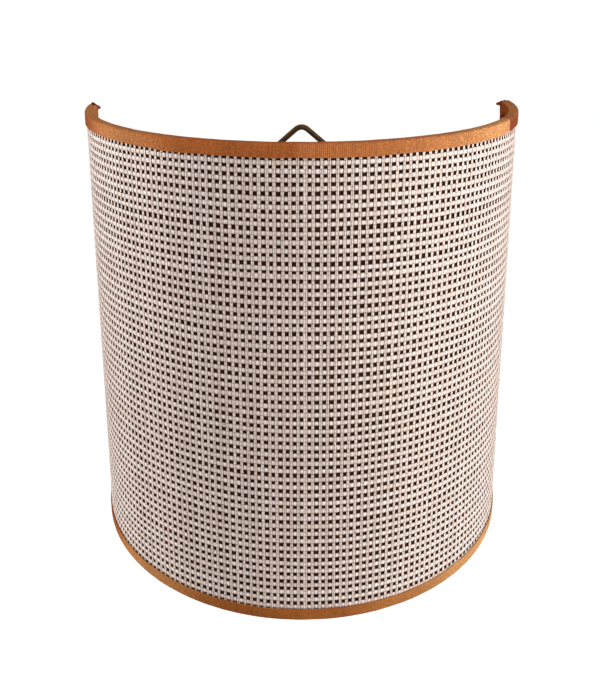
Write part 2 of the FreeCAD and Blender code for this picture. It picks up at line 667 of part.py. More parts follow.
PLATE_Z = f"({NECK_Z} + stem_height)"
PLATE_TOP = f"({PLATE_Z} + plate_wall)"
UPPER_PLATE_Z = f"({PLATE_TOP} + filament_length)"
on_lamp_axis("Stem", "filament_stem", [
    ("0", NECK_Z),
    (f"{NECK_INSIDE} - glass_gap", NECK_Z),
    (f"{NECK_INSIDE} - glass_gap", f"{NECK_Z} + globe_wall"),
    ("stem_radius", NECK_TOP),
    ("stem_radius", PLATE_Z),
    ("plate_radius", PLATE_Z),
    ("plate_radius", PLATE_TOP),
    ("post_radius", PLATE_TOP),
    ("post_radius", UPPER_PLATE_Z),
    ("plate_radius", UPPER_PLATE_Z),
    ("plate_radius", f"{UPPER_PLATE_Z} + plate_wall"),
    ("0", f"{UPPER_PLATE_Z} + plate_wall"),
])
filaments = []
for i in range(int(value("filament_count"))):
    spoke = f"({i} * {FULL_TURN} / filament_count)"
    filament = rod(f"Filament{i}", "filament_radius", "filament_length")
    place(filament, x=f"filament_circle * cos({spoke})", y=f"-lamp_reach + filament_circle * sin({spoke})",
          z=f"{LAMP_Z} + {PLATE_TOP}")
    filaments.append(filament)
node(group("Filaments", filaments), "led_filaments")

doc.recompute()
for thing in doc.Objects:
    if "Invalid" in thing.State or "Error" in thing.State:
        raise RuntimeError(f"{thing.Name} failed: {thing.State}")
for thing in nodes:
    if thing.Shape.isNull() or not thing.Shape.isValid():
        raise RuntimeError(f"{thing.Label} has no valid shape")

os.makedirs("parts", exist_ok=True)
for thing in nodes:
    thing.Shape.exportStep(f"parts/{thing.Label}.step")
    print(f"{thing.Label}: {len(thing.Shape.Solids)} solid, {thing.Shape.Volume:.1f} mm3")
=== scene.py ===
import math

import bpy
import numpy as np
from bpy.props import FloatProperty, FloatVectorProperty, IntProperty, PointerProperty
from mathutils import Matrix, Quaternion, Vector


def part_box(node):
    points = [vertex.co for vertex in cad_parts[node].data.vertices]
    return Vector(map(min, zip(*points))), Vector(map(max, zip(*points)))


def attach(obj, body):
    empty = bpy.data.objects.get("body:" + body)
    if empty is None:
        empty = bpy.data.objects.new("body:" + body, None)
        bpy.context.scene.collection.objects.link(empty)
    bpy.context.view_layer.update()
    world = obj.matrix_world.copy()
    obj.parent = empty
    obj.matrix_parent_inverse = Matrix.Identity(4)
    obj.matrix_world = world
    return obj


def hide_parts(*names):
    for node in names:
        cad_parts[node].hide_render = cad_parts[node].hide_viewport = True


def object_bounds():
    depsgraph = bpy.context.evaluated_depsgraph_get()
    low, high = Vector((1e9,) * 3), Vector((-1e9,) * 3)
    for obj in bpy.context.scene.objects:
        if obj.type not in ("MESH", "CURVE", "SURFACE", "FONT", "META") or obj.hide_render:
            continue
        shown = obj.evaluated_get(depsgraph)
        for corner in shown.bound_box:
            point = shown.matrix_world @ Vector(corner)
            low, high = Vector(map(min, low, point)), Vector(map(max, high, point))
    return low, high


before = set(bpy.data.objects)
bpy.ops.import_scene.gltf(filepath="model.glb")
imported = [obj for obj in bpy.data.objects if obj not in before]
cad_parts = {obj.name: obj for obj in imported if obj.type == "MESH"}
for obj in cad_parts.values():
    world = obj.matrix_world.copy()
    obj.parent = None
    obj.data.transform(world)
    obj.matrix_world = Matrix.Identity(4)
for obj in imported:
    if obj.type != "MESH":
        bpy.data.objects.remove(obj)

bl_info = {
    "name": "Raffia Wall Lamp",
    "version": (1, 0, 0),
    "blender": (4, 5, 0),
    "location": "View3D > Sidebar > Wall Lamp",
    "description": "Dresses a half-round wall lamp in woven raffia, copper ribbon and bronze wire",
    "category": "Object",
}

# Everything is in metres, in the frame of the construction: +Z up, +Y into the wall, front towards -Y.
MM = 0.001
TURN = 2 * math.pi
WHITE = (1.0, 1.0, 1.0, 1.0)
CAD_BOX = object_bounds()

COVER_LOW, COVER_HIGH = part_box("raffia_cover")
AXIS_Y = COVER_HIGH.y
BOTTOM_Z = COVER_LOW.z
TOP_Z = COVER_HIGH.z
SHADE_HEIGHT = TOP_Z - BOTTOM_Z
BOTTOM_RADIUS = COVER_HIGH.x
TOP_RADIUS = max(
    vertex.co.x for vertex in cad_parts["raffia_cover"].data.vertices if vertex.co.z > TOP_Z - MM
)
FLARE = (BOTTOM_RADIUS - TOP_RADIUS) / SHADE_HEIGHT
LAMP_Y = sum(corner.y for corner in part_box("fitter_ring")) / 2

# Angle of a rear edge of the shade from the front.
REAR = math.pi / 2
# Middle of the lowest level strand above the bottom edge, in rows.
ROW_START = 0.6
# Half the length of a crossing, which has a crease at each end, in columns or rows.
HALF_CROSSING = 0.25
# Share of a strand's length at each end that is drawn to a point.
POINTED_END = 0.0001
# Power that makes a yarn's round section boxy.
YARN_SECTION = 0.6
# Part of the way from a strand's middle to its edge where its painted shade starts.
EDGE_SHADE_START = 0.5
# Angle between two rows of points along an edge ribbon.
RIBBON_STEP = math.radians(0.6)
# Waves of the ribbons' uneven edges and folds, in a radian of an edge ribbon or the length of a side ribbon.
FRAY_WAVES = (9, 17, 31, 53)
FOLD_WAVES = (7, 13, 27, 45)
SIDE_WAVES = (19, 41, 83)
# Before a rear corner, where the top ribbon's inner side comes loose, and over which length it does so.
LOOSE_START = 8 * MM
LOOSE_LENGTH = 5 * MM
# Inset up to which a ribbon's points belong to its outer side.
OUTER_SIDE = 0.5 * MM
# Faces that meet at more than this look sharp.
SHARP = math.radians(50)
# Width of the camera's film, in millimetres.
FILM_WIDTH = 36.0


# Kinds of settings, named as those of bpy.props are


def Number(name, description, default, **more):
    """A plain number, or the base of the other kinds."""
    return FloatProperty(name=name, description=description, default=default, **more)


def Length(name, description, millimetres, **more):
    """A length, given in millimetres and kept in metres."""
    return Number(name, description, millimetres * MM, unit="LENGTH", **more)


def Angle(name, description, degrees):
    """An angle, given in degrees and kept in radians."""
    return Number(name, description, math.radians(degrees), subtype="ANGLE")


def Factor(name, description, default):
    """A share from 0 to 1."""
    return Number(name, description, default, subtype="FACTOR")


def Colour(name, description, *channels):
    """A colour, from its red, green and blue."""
    return FloatVectorProperty(name=name, description=description, default=channels, subtype="COLOR")


def Place(name, description, *millimetres):
    """A point, given in millimetres and kept in metres."""
    place = [part * MM for part in millimetres]
    return FloatVectorProperty(name=name, description=description, default=place, subtype="TRANSLATION")


# Node trees


def maths(operation, reflected=False):
    """A method of a signal that adds a Math node, with the signal last where it is reflected."""
    def apply(self, *others):
        operands = (*others, self) if reflected else (self, *others)
        return self.board.add("ShaderNodeMath", dict(enumerate(operands)), operation=operation)
    return apply


class Signal:
    """A socket of a node tree. Arithmetic on it adds Math nodes to that tree."""

    def __init__(self, board, socket):
        self.board = board
        self.socket = socket

    __add__ = __radd__ = maths("ADD")
    __sub__ = maths("SUBTRACT")
    __rsub__ = maths("SUBTRACT", reflected=True)
    __mul__ = __rmul__ = maths("MULTIPLY")
    __truediv__ = maths("DIVIDE")
    __mod__ = maths("FLOORED_MODULO")
    __lt__ = maths("LESS_THAN")
    __gt__ = maths("GREATER_THAN")
    rounded = maths("ROUND")
    size = maths("ABSOLUTE")
    sign = maths("SIGN")
    sine = maths("SINE")
    cosine = maths("COSINE")
    to_power = maths("POWER")
    at_least = maths("MAXIMUM")
    at_most = maths("MINIMUM")

    def output(self, name):
        """Another output of the same node."""
        return Signal(self.board, self.socket.node.outputs[name])

    def between(self, low, high):
        return self.at_least(low).at_most(high)

    def bent(self, exponent):
        """A power of the size, with the sign kept."""
        return self.sign() * self.size().to_power(exponent)

    def ramp(self, start, end):
        """0 before start, 1 after end, smooth between them. Start may be the larger one."""
        if start > end:
            return 1 - self.ramp(end, start)
        inputs = {"Value": self, "From Min": start, "From Max": end}
        return self.board.add("ShaderNodeMapRange", inputs, interpolation_type="SMOOTHSTEP")


class Board:
    """A node tree, with the one way that nodes are added to it."""

    def __init__(self, tree):
        self.tree = tree

    def add(self, kind, inputs=None, **settings):
        """A node with its settings and then its sockets set or linked, as the signal of its first output."""
        node = self.tree.nodes.new(kind)
        for name, setting in settings.items():
            setattr(node, name, setting)
        for name, given in (inputs or {}).items():
            socket = self.entry(node, name)
            if isinstance(given, Signal):
                self.tree.links.new(given.socket, socket)
            else:
                socket.default_value = given
        shown = [socket for socket in node.outputs if socket.enabled]
        return Signal(self, shown[0]) if shown else None

    def entry(self, node, name):
        """A node's input, by its number or by its name among those in use."""
        if isinstance(name, int):
            return node.inputs[name]
        return next(socket for socket in node.inputs if socket.enabled and socket.name == name)

    def vector(self, x=0.0, y=0.0, z=0.0):
        return self.add("ShaderNodeCombineXYZ", {"X": x, "Y": y, "Z": z})

    def noise(self, place, scale=1.0, detail=2.0, roughness=0.5):
        inputs = {"Vector": place, "Scale": scale, "Detail": detail, "Roughness": roughness}
        return self.add("ShaderNodeTexNoise", inputs)


class Finish(Board):
    """The node tree of a new material."""

    def __init__(self, name):
        self.material = bpy.data.materials.new(name)
        self.material.use_nodes = True
        super().__init__(self.material.node_tree)
        self.tree.nodes.clear()
        self.place = self.add("ShaderNodeTexCoord").output("Object")

    def attribute(self, name):
        """A number kept on the piece's own points."""
        return self.add("ShaderNodeAttribute", attribute_name=name).output("Fac")

    def grain(self, scale, detail=2.0, roughness=0.5):
        """Noise by the place on the piece."""
        return self.noise(self.place, scale, detail, roughness)

    def streaks(self, *scales):
        """Noise with a scale of its own along each axis."""
        return self.noise(self.add("ShaderNodeVectorMath", {0: self.place, 1: scales}, operation="MULTIPLY"))

    def mixed(self, share, first, second):
        """Two colours mixed."""
        return self.add("ShaderNodeMix", {"Factor": share, "A": first, "B": second}, data_type="RGBA")

    def shades(self, share, colour, first, second):
        """A mix of two shades of a colour."""
        return self.mixed(share, tint(colour, first), tint(colour, second))

    def bumped(self, height, distance, strength=1.0):
        return self.add("ShaderNodeBump", {"Height": height, "Distance": distance, "Strength": strength})

    def covered(self, shader):
        """The material, with a shader joined to its output."""
        self.add("ShaderNodeOutputMaterial", {"Surface": shader})
        return self.material

    def surface(self, inputs):
        """The material, with these inputs of its one shader."""
        return self.covered(self.add("ShaderNodeBsdfPrincipled", inputs))


class Growth(Board):
    """A new geometry tree with a named input for each size."""

    def __init__(self, name, sizes):
        super().__init__(bpy.data.node_groups.new(name, "GeometryNodeTree"))
        sockets = self.tree.interface
        sockets.new_socket("Geometry", in_out="OUTPUT", socket_type="NodeSocketGeometry")
        for label, size in sizes.items():
            kind = "NodeSocketInt" if isinstance(size, int) else "NodeSocketFloat"
            sockets.new_socket(label, in_out="INPUT", socket_type=kind)
        entry = self.add("NodeGroupInput")
        self.given = {label: entry.output(label) for label in sizes}

    def kept(self, geometry, name, number):
        """The geometry with a number kept on its points."""
        inputs = {"Geometry": geometry, "Name": name, "Value": number}
        return self.add("GeometryNodeStoreNamedAttribute", inputs, data_type="FLOAT", domain="POINT")

    def recalled(self, name):
        return self.add("GeometryNodeInputNamedAttribute", {"Name": name}, data_type="FLOAT")

    def chance(self, number, seed):
        """A random number from -1 to 1 that belongs to a strand."""
        inputs = {"Min": -1.0, "Max": 1.0, "ID": number, "Seed": seed}
        return self.add("FunctionNodeRandomValue", inputs, data_type="FLOAT")

    def waver(self, along, strand):
        """A slow change about 0 along a strand."""
        return self.noise(self.vector(along, strand), detail=1.0) - 0.5

    def finished(self, geometry, material):
        """The tree, ended with the geometry smooth and in its material."""
        smooth = self.add("GeometryNodeSetShadeSmooth", {"Geometry": geometry})
        ready = self.add("GeometryNodeSetMaterial", {"Geometry": smooth, "Material": material})
        self.add("NodeGroupOutput", {"Geometry": ready})
        return self.tree


# Materials


def tint(colour, share=1.0):
    """A colour, or a lighter or darker shade of it, for a socket."""
    return (*(channel * share for channel in colour), 1.0)


def raffia_finish(name, settings, length, crossings, first):
    """Dry raffia: fibres along each strand, strands of differing tone, brown hairlines of painted shade at
    edges and creases, and a painted highlight on raised parts.

    The creases are to each side of every crossing along a strand; first is the first crossing, in crossings.
    """
    board = Finish(name)
    labels = ("strand", "along", "around", "raised", "edge")
    strand, along, around, raised, edge = (board.attribute(label) for label in labels)
    fibre_place = board.vector(along * (length / settings.fibre_length), around * 7.0, strand * 7.31)
    fibre = board.noise(fibre_place, detail=3.0, roughness=0.6)
    tone = board.add("ShaderNodeTexWhiteNoise", {"W": strand}, noise_dimensions="1D")
    patch = board.grain(210.0, 1.0)
    # The raised term paints a highlight on raised crossings and pillow middles; fibre, tone and patch are the
    # raffia's own.
    share = (fibre * 0.5 + tone * 0.4 + patch * 0.6 + raised * 0.5 - 0.82).ramp(-0.05, 0.6)
    straw = board.mixed(share, tint(settings.shaded_straw), tint(settings.pale_straw))
    # Painted shade: brown hairlines at a strand's edges, and in uneven patches at the creases beside each
    # crossing, where strands shade each other.
    painted_shade = edge.ramp(EDGE_SHADE_START, 1.0) * settings.rim
    patchiness = board.grain(620.0, 1.0).ramp(0.2, 0.5)
    for crease in (first + HALF_CROSSING, first - HALF_CROSSING):
        beside = along * crossings - crease
        beside = (beside - beside.rounded()).size()
        painted_shade = painted_shade.at_least(beside.ramp(settings.crease_width, 0.0) * patchiness * settings.crease_shade_depth)
    speck = board.grain(520.0, 1.0).ramp(0.75, 0.79) * 0.7
    pad = (raised + 0.3) * (1 - edge * edge)
    return board.surface({
        "Base Color": board.mixed(painted_shade.at_least(speck), straw, tint(settings.shade_and_speck_brown)),
        "Roughness": 0.55 - fibre * 0.2,
        "Normal": board.bumped(fibre * (0.1 * MM) + pad * settings.puff, 1.0),
        "Specular IOR Level": 0.35,
    })


def liner_finish(settings):
    """Dark brown backing sheet with a fine pressed grain."""
    board = Finish("liner_brown")
    grain = board.grain(1400.0, 3.0)
    share = (grain * 0.6 + board.grain(45.0) * 0.6 - 0.3).ramp(0.0, 0.7)
    return board.surface({
        "Base Color": board.shades(share, settings.liner_brown, 0.55, 1.35),
        "Roughness": 0.9 - grain * 0.1,
        "Normal": board.bumped(grain, 0.1 * MM, 0.6),
        "Specular IOR Level": 0.1,
    })


def ribbon_finish(name, settings, colour, fold, painted_sheen_and_red_end=1.0, ribs=1.0, over=None):
    """Copper satin ribbon: grainy, with uneven ribs, a painted golden sheen and glints towards its ends, and
    redder at its left end.

    Past its outer fold it has painted shade, or the colour given as over, which paints the light on the
    lapped end's top face; its inner side has painted shade.
    """
    board = Finish(name)
    along = board.attribute("along")
    across = board.attribute("across")
    waver = board.noise(board.vector(along * 160.0)) * (settings.rib_pitch * 1.2)
    rib = ((along + waver) * (TURN / settings.rib_pitch)).sine() * 0.5 + 0.5
    cloud = board.grain(45.0)
    grain = board.grain(1400.0, 3.0, 0.7)
    fleck = board.grain(900.0, 1.0).ramp(0.32, 0.25)
    brushed = board.noise(board.vector(along * 1500.0, across * 90.0))

    # Where the ribbon is ribbed and red, where a golden sheen is painted on it, and the glints painted there
    # on its metal threads.
    left = -settings.sheen_full
    ribs_begin = along.ramp(settings.rib_start, settings.rib_start + 5 * MM)
    ribbed = ribs_begin * along.ramp(settings.rib_end, 0.0) * ribs
    left_painted_sheen = along.ramp(left * 0.4, left * 0.85) * along.ramp(left * 1.25, left * 0.85) * 0.55
    painted_sheen = (along.ramp(settings.sheen_start, settings.sheen_full) + left_painted_sheen + ribbed * 0.06) * painted_sheen_and_red_end
    reddened = along.ramp(left * 0.85, left * 1.15) * painted_sheen_and_red_end * ribs
    metal_threads_and_painted_glints = (grain + cloud * 0.2 - 0.1).ramp(0.5, 0.72) * painted_sheen

    # The outer side, the way over the fold with its painted shade or painted top colour, and the inner side
    # with its painted shade.
    share = 0.4 + (grain - 0.5) * (1.5 + painted_sheen) + (brushed - 0.5) * (0.4 + ribbed * 0.8)
    share = (share + (cloud - 0.5) * 0.7 + (rib - 0.3) * ribbed * 0.45).ramp(-0.15, 1.0)
    tone = board.shades(share, colour, 0.6, 1.5)
    # Painted sheen: pale gold mixed in where the ribbon catches the lamps, on the glints and on the ribs.
    tone = board.mixed(painted_sheen * 0.25 + metal_threads_and_painted_glints * 0.55 + ribbed * rib * 0.07, tone, tint(settings.painted_sheen_gold))
    tone = board.mixed(fleck * 0.6, tone, tint(colour, 0.35))
    tone = board.mixed(reddened * 0.9, tone, tint(settings.lap_copper))
    past = across.ramp(fold - 0.5 * MM, fold + 0.7 * MM)
    # Painted shade past the outer fold, less at the red left end, which takes a painted top colour; the
    # lapped end takes a painted top colour instead of shade.
    if over is None:
        shaded = past * (1 - reddened * 1.4).between(0.0, 1.0) * settings.fold_shade
        tone = board.mixed(shaded, tone, tint(colour, 0.3))
        tone = board.mixed(past * reddened * 0.9, tone, tint(settings.painted_top_copper, 1.15))
    else:
        tone = board.mixed(past * 0.85, tone, board.shades(share, over, 0.7, 1.3))
    # Painted shade on the ribbon's inner side, less at the red left end.
    inside = across.ramp(fold + 4.0 * MM, fold + 4.8 * MM)
    tone = board.mixed(inside * (0.85 - reddened * 0.6), tone, tint(settings.painted_inner_shade))
    height = rib * ribbed * 0.6 + grain * (0.3 + painted_sheen * 0.4) + brushed * 0.3
    return board.surface({
        "Base Color": tone,
        "Metallic": metal_threads_and_painted_glints * 0.4,
        "Roughness": 0.75 - metal_threads_and_painted_glints * 0.3,
        "Normal": board.bumped(height, 0.06 * MM, 0.8),
        "Specular IOR Level": 0.0,
    })


def wire_finish(settings):
    """Bronze lacquer on wire, a little rubbed here and there."""
    board = Finish("bronze_wire")
    scratch = board.grain(900.0)
    patchiness = (board.grain(160.0, 3.0) * 0.8 + scratch * 0.3).ramp(0.5, 0.8)
    return board.surface({
        "Base Color": board.mixed(patchiness, tint(settings.bronze), tint(settings.bronze_worn)),
        "Metallic": 0.2,
        "Roughness": 0.55 - patchiness * 0.12,
        "Normal": board.bumped(scratch, 0.02 * MM, 0.3),
        "Specular IOR Level": 0.06,
    })


def moulded_finish(name, colour, roughness):
    """Moulded plastic with a fine eroded texture and faint flow marks."""
    board = Finish(name)
    grain = board.grain(2200.0)
    flow = board.streaks(60.0, 60.0, 18.0).ramp(0.3, 0.7)
    return board.surface({
        "Base Color": board.shades(flow, colour, 0.8, 1.25),
        "Roughness": roughness + grain * 0.18 - 0.09,
        "Normal": board.bumped(grain, 0.03 * MM, 0.6),
    })


def ceramic_finish(colour):
    """Unglazed pressed ceramic, a little stained."""
    board = Finish("pressed_ceramic")
    grain = board.grain(1500.0, 3.0)
    stain = board.grain(140.0, 3.0).ramp(0.45, 0.75)
    return board.surface({
        "Base Color": board.shades(stain, colour, 1.0, 0.78),
        "Roughness": 0.72 - grain * 0.15,
        "Normal": board.bumped(grain, 0.05 * MM, 0.7),
    })


def metal_finish(name, colour, roughness):
    """Bare stamped metal with drawing marks and a little tarnish."""
    board = Finish(name)
    marks = board.streaks(300.0, 300.0, 2400.0)
    tarnish = board.grain(220.0, 3.0).ramp(0.5, 0.75)
    return board.surface({
        "Base Color": board.shades(tarnish * 0.6, colour, 1.0, 0.6),
        "Metallic": 1.0,
        "Roughness": roughness + marks * 0.14 + tarnish * 0.15,
        "Normal": board.bumped(marks, 0.02 * MM, 0.4),
    })


def glass_finish():
    """Clear blown glass with the faintest waviness."""
    board = Finish("bulb_glass")
    wave = board.grain(110.0, 1.0)
    return board.surface({
        "Base Color": (0.97, 0.98, 0.97, 1.0),
        "Roughness": wave * 0.03,
        "IOR": 1.5,
        "Transmission Weight": 1.0,
        "Normal": board.bumped(wave, 0.05 * MM, 0.3),
    })


def phosphor_finish(colour):
    """Yellow phosphor coat on the filaments, mottled."""
    board = Finish("phosphor_coat")
    mottle = board.grain(900.0)
    tone = board.shades(mottle.ramp(0.35, 0.7), colour, 0.75, 1.0)
    return board.surface({"Base Color": tone, "Roughness": 0.6 + mottle * 0.2})


# Shared making of pieces


def settle(piece, body, slot, *nodes):
    """Ride a finished piece on its body, and let it stand for its construction nodes, which are hidden. The
    slot is not used.
    """
    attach(piece, body)
    if nodes:
        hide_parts(*nodes)


def linked(name, data):
    """A new object at the origin."""
    piece = bpy.data.objects.new(name, data)
    bpy.context.scene.collection.objects.link(piece)
    return piece


def dress(material, *nodes):
    """Give nodes of the construction their finish."""
    for name in nodes:
        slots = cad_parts[name].data.materials
        slots.clear()
        slots.append(material)


def grown(name, tree, sizes):
    """Run a geometry tree once and keep what it makes as a plain mesh."""
    piece = linked(name, bpy.data.meshes.new(name))
    modifier = piece.modifiers.new(name, "NODES")
    modifier.node_group = tree
    for item in tree.interface.items_tree:
        if item.in_out == "INPUT":
            modifier[item.identifier] = sizes[item.name]
    depsgraph = bpy.context.evaluated_depsgraph_get()
    mesh = bpy.data.meshes.new_from_object(piece.evaluated_get(depsgraph))
    if not mesh.polygons:
        raise RuntimeError(f"{name} came out empty")
    piece.modifiers.remove(modifier)
    piece.data = mesh
    mesh.name = name
    return piece


def quads(grid):
    """A face between each four neighbours in a grid of corners."""
    return np.stack([grid[:-1, :-1], grid[1:, :-1], grid[1:, 1:], grid[:-1, 1:]], axis=-1).reshape(-1, 4)


def meshed(name, material, points, faces):
    """A piece from points and faces, smooth but for its sharp edges."""
    mesh = bpy.data.meshes.new(name)
    mesh.from_pydata(points.reshape(-1, 3).tolist(), [], faces)
    mesh.materials.append(material)
    mesh.shade_smooth()
    mesh.set_sharp_from_angle(angle=SHARP)
    return linked(name, mesh)


def placed(x, y, z):
    """Points, from coordinates that are the same along a row or a column or change with both."""
    return np.stack(np.broadcast_arrays(x, y, z), axis=-1)


def round_shade(radius, angles, heights):
    """Points round the shade's axis, at angles from the front."""
    return placed(radius * np.sin(angles), AXIS_Y - radius * np.cos(angles), heights)


def round_lamp(radius, angles, heights):
    """Points round the lampholder's axis, at angles from the right."""
    return placed(radius * np.cos(angles), LAMP_Y + radius * np.sin(angles), heights)


# Weave


class LAMP_PG_weave(bpy.types.PropertyGroup):
    """The woven raffia and the sheet behind it."""

    columns: IntProperty(name="Columns", description="Pairs of yarns round the shade", default=108, min=2)
    first_column: Number("First column", "First pair from the left edge, in columns", 0.8)
    rows: IntProperty(name="Rows", description="Level strands up the shade", default=59, min=2)
    row_pitch: Length("Row pitch", "From row to row at the bottom", 4.084)
    row_closing: Length("Row closing", "How much closer rows get, with the row squared", 9.85e-5, precision=6)
    row_dip: Length("Row dip", "How far the rows dip, times the angle from the front squared", 0.83)
    row_slant: Length("Row slant", "How far the bottom row sinks to the right in a radian", 1.7)
    slant_easing: Length("Slant easing", "How much less each row up sinks", 0.023, precision=6)
    weft_width: Number("Strand width", "Height of a level strand, in rows", 0.6)
    weft_thickness: Length("Strand thickness", "Thickness of a level strand", 0.28)
    yarn_width: Length("Yarn width", "Width of an upright yarn", 0.62)
    yarn_thickness: Length("Yarn thickness", "Thickness of an upright yarn", 0.22)
    yarn_spread: Number("Yarn spread", "Yarn to the middle of its pair, in columns", 0.1)
    stray_pair: IntProperty(name="Stray pair", description="Pair whose left yarn is broad", default=52)
    stray: Number("Stray", "How much broader that yarn is", 0.7)
    depth: Length("Depth", "Weave's middle below the shade's outer face", 0.4)
    wander: Number("Wander", "Unevenness of the strands, in rows or columns", 0.16)
    puff: Length("Puff", "How far a strand's middle seems to swell", 0.2)
    fibre_length: Length("Fibre length", "Length of the streaks along a strand", 4.0)
    # Crease and rim settings paint shade where strands meet; the shade and speck brown also colours the
    # raffia's own specks.
    crease_width: Number("Crease width", "Half the width of a crease, in columns or rows", 0.075)
    crease_shade_depth: Factor("Crease depth", "How far a crease browns", 0.9)
    rim: Factor("Rim", "How far a strand's edges brown", 0.7)
    # Pale and shaded straw are mixed by the raffia's own tone and by a painted highlight on raised parts.
    pale_straw: Colour("Pale straw", "Raffia in full light", 0.925, 0.797, 0.737)
    shaded_straw: Colour("Shaded straw", "Darker fibres of the raffia", 0.755, 0.602, 0.525)
    shade_and_speck_brown: Colour("Crease brown", "Raffia where strands cross", 0.26, 0.14, 0.085)
    liner_brown: Colour("Liner brown", "Sheet behind the weave", 0.062, 0.02, 0.0085)


def loose_strands(board):
    """One flat skin for each strand, whose points know their strand and their place along and around it."""
    given = board.given
    points = board.add("GeometryNodeMeshLine", {"Count": given["Strands"]})
    points = board.kept(points, "strand", board.add("GeometryNodeInputIndex") + given["First Strand"])
    grid = board.add("GeometryNodeMeshGrid", {
        "Size X": 1.0, "Size Y": 1.0, "Vertices X": given["Sides"] + 1, "Vertices Y": given["Steps"] + 1,
    })
    place = board.add("ShaderNodeSeparateXYZ", {"Vector": board.add("GeometryNodeInputPosition")})
    around = place.output("X") + 0.5
    grid = board.kept(grid, "around", around)
    grid = board.kept(grid, "edge", (around * TURN).cosine().size())
    grid = board.kept(grid, "along", place.output("Y") + 0.5)
    strands = board.add("GeometryNodeInstanceOnPoints", {"Points": points, "Instance": grid})
    return board.add("GeometryNodeRealizeInstances", {"Geometry": strands})


def strand_places(board):
    """A point's strand, its place along it and its angle round it, and 0 where the strand ends, else 1."""
    strand, along, around = (board.recalled(label) for label in ("strand", "along", "around"))
    return strand, along, around * TURN, (along > POINTED_END) * (along < 1 - POINTED_END)


def laid(given, level, angle):
    """Height of a level of the weave: rows close up to the top, slant to the right and dip at both sides."""
    height = level * (given["Pitch"] - level * level * given["Closing"])
    height = height - angle * (angle * given["Dip"] + given["Slant"] - level * given["Easing"])
    return height.between(given["Margin"], SHADE_HEIGHT - given["Margin"])


def woven(board, strands, angle, radius, height, material):
    """Move the loose skins to their place in the weave, at an angle from the front, and close them."""
    place = board.vector(radius * angle.sine(), AXIS_Y - radius * angle.cosine(), height + BOTTOM_Z)
    moved = board.add("GeometryNodeSetPosition", {"Geometry": strands, "Position": place})
    closed = board.add("GeometryNodeMergeByDistance", {"Geometry": moved, "Distance": 0.002 * MM})
    return board.finished(closed, material)


def weft_tree(material, sizes):
    """Level strands. Between two pairs of yarns a strand swells to a pillow; at a pair it dips."""
    board = Growth("weft_strands", sizes)
    given = board.given
    row, along, turn, ends = strand_places(board)
    column = along * given["Columns"] - given["First Column"]
    pair = column.rounded()
    beside = column - pair
    side = 1 - (row + pair) % 2.0 * 2.0
    bulge = 0.5 - (beside * TURN).cosine() * 0.5
    strands = board.kept(loose_strands(board), "raised", bulge)
    crossing = (beside * (2 * TURN)).sine() * side * (beside.size() < HALF_CROSSING)
    drift = board.waver(along * 7.0, row * 0.11)
    tremble = board.waver(along * 60.0, row * 3.7)
    swell = board.waver(along * 46.0, row * 5.3)
    own = board.chance(row, seed=11)
    breadth = board.chance(row, seed=23)
    level = row + ROW_START + given["Wander"] * (drift * 2.2 + tremble * 0.6 + own * 0.3)
    pitch = given["Pitch"] - level * level * given["Closing"] * 3.0
    pillow = 0.84 + bulge * 0.18 + breadth * 0.07 + swell * 0.26
    half = pitch * given["Width"] * 0.5 * pillow * ends
    thick = given["Thickness"] * 0.5 * ends
    angle = (along - 0.5) * math.pi
    height = laid(given, level, angle) + turn.cosine() * half
    out = (bulge - 0.7) * given["Bulge"] - crossing * given["Crossing"]
    radius = BOTTOM_RADIUS - FLARE * height - given["Depth"] + out + turn.sine() * thick
    return woven(board, strands, angle, radius, height, material)


def yarn_tree(material, sizes):
    """Upright yarns in close pairs. Each rises at one level strand and sinks at the next, unlike its twin."""
    board = Growth("warp_yarns", sizes)
    given = board.given
    yarn, along, turn, ends = strand_places(board)
    twin = yarn % 2.0
    pair = (yarn - twin) * 0.5
    side = twin * 2.0 - 1.0
    level = along * given["Rows"]
    own = board.chance(pair, seed=37)
    breadth = board.chance(yarn, seed=41)
    drift = board.waver(along * 5.0, pair * 0.17)
    tremble = board.waver(along * 40.0, yarn * 4.1)
    swell = board.waver(along * 30.0, yarn * 6.7)
    stray = ((pair - given["Stray Pair"]).size() < 0.5) * (1 - twin)
    column = pair + side * given["Spread"] - stray * 0.08
    column = column + given["Wander"] * (drift * 1.2 + tremble * 0.45 + own * 0.5)
    over = ((level - ROW_START + pair) * math.pi).cosine() * side
    strands = board.kept(loose_strands(board), "raised", over * 0.5 + 0.5)
    fullness = 1 + breadth * 0.2 + swell * 0.35 + stray * given["Stray"]
    half = given["Width"] * 0.5 * fullness * ends
    thick = given["Thickness"] * 0.5 * ends
    angle = ((column + given["First Column"]) / given["Columns"] - 0.5) * math.pi
    height = laid(given, level, angle)
    out = given["Lift"] + over * given["Crossing"]
    radius = BOTTOM_RADIUS - FLARE * height - given["Depth"] + out + turn.sine().bent(YARN_SECTION) * thick
    angle = angle + turn.cosine().bent(YARN_SECTION) * half / radius
    return woven(board, strands, angle, radius, height, material)


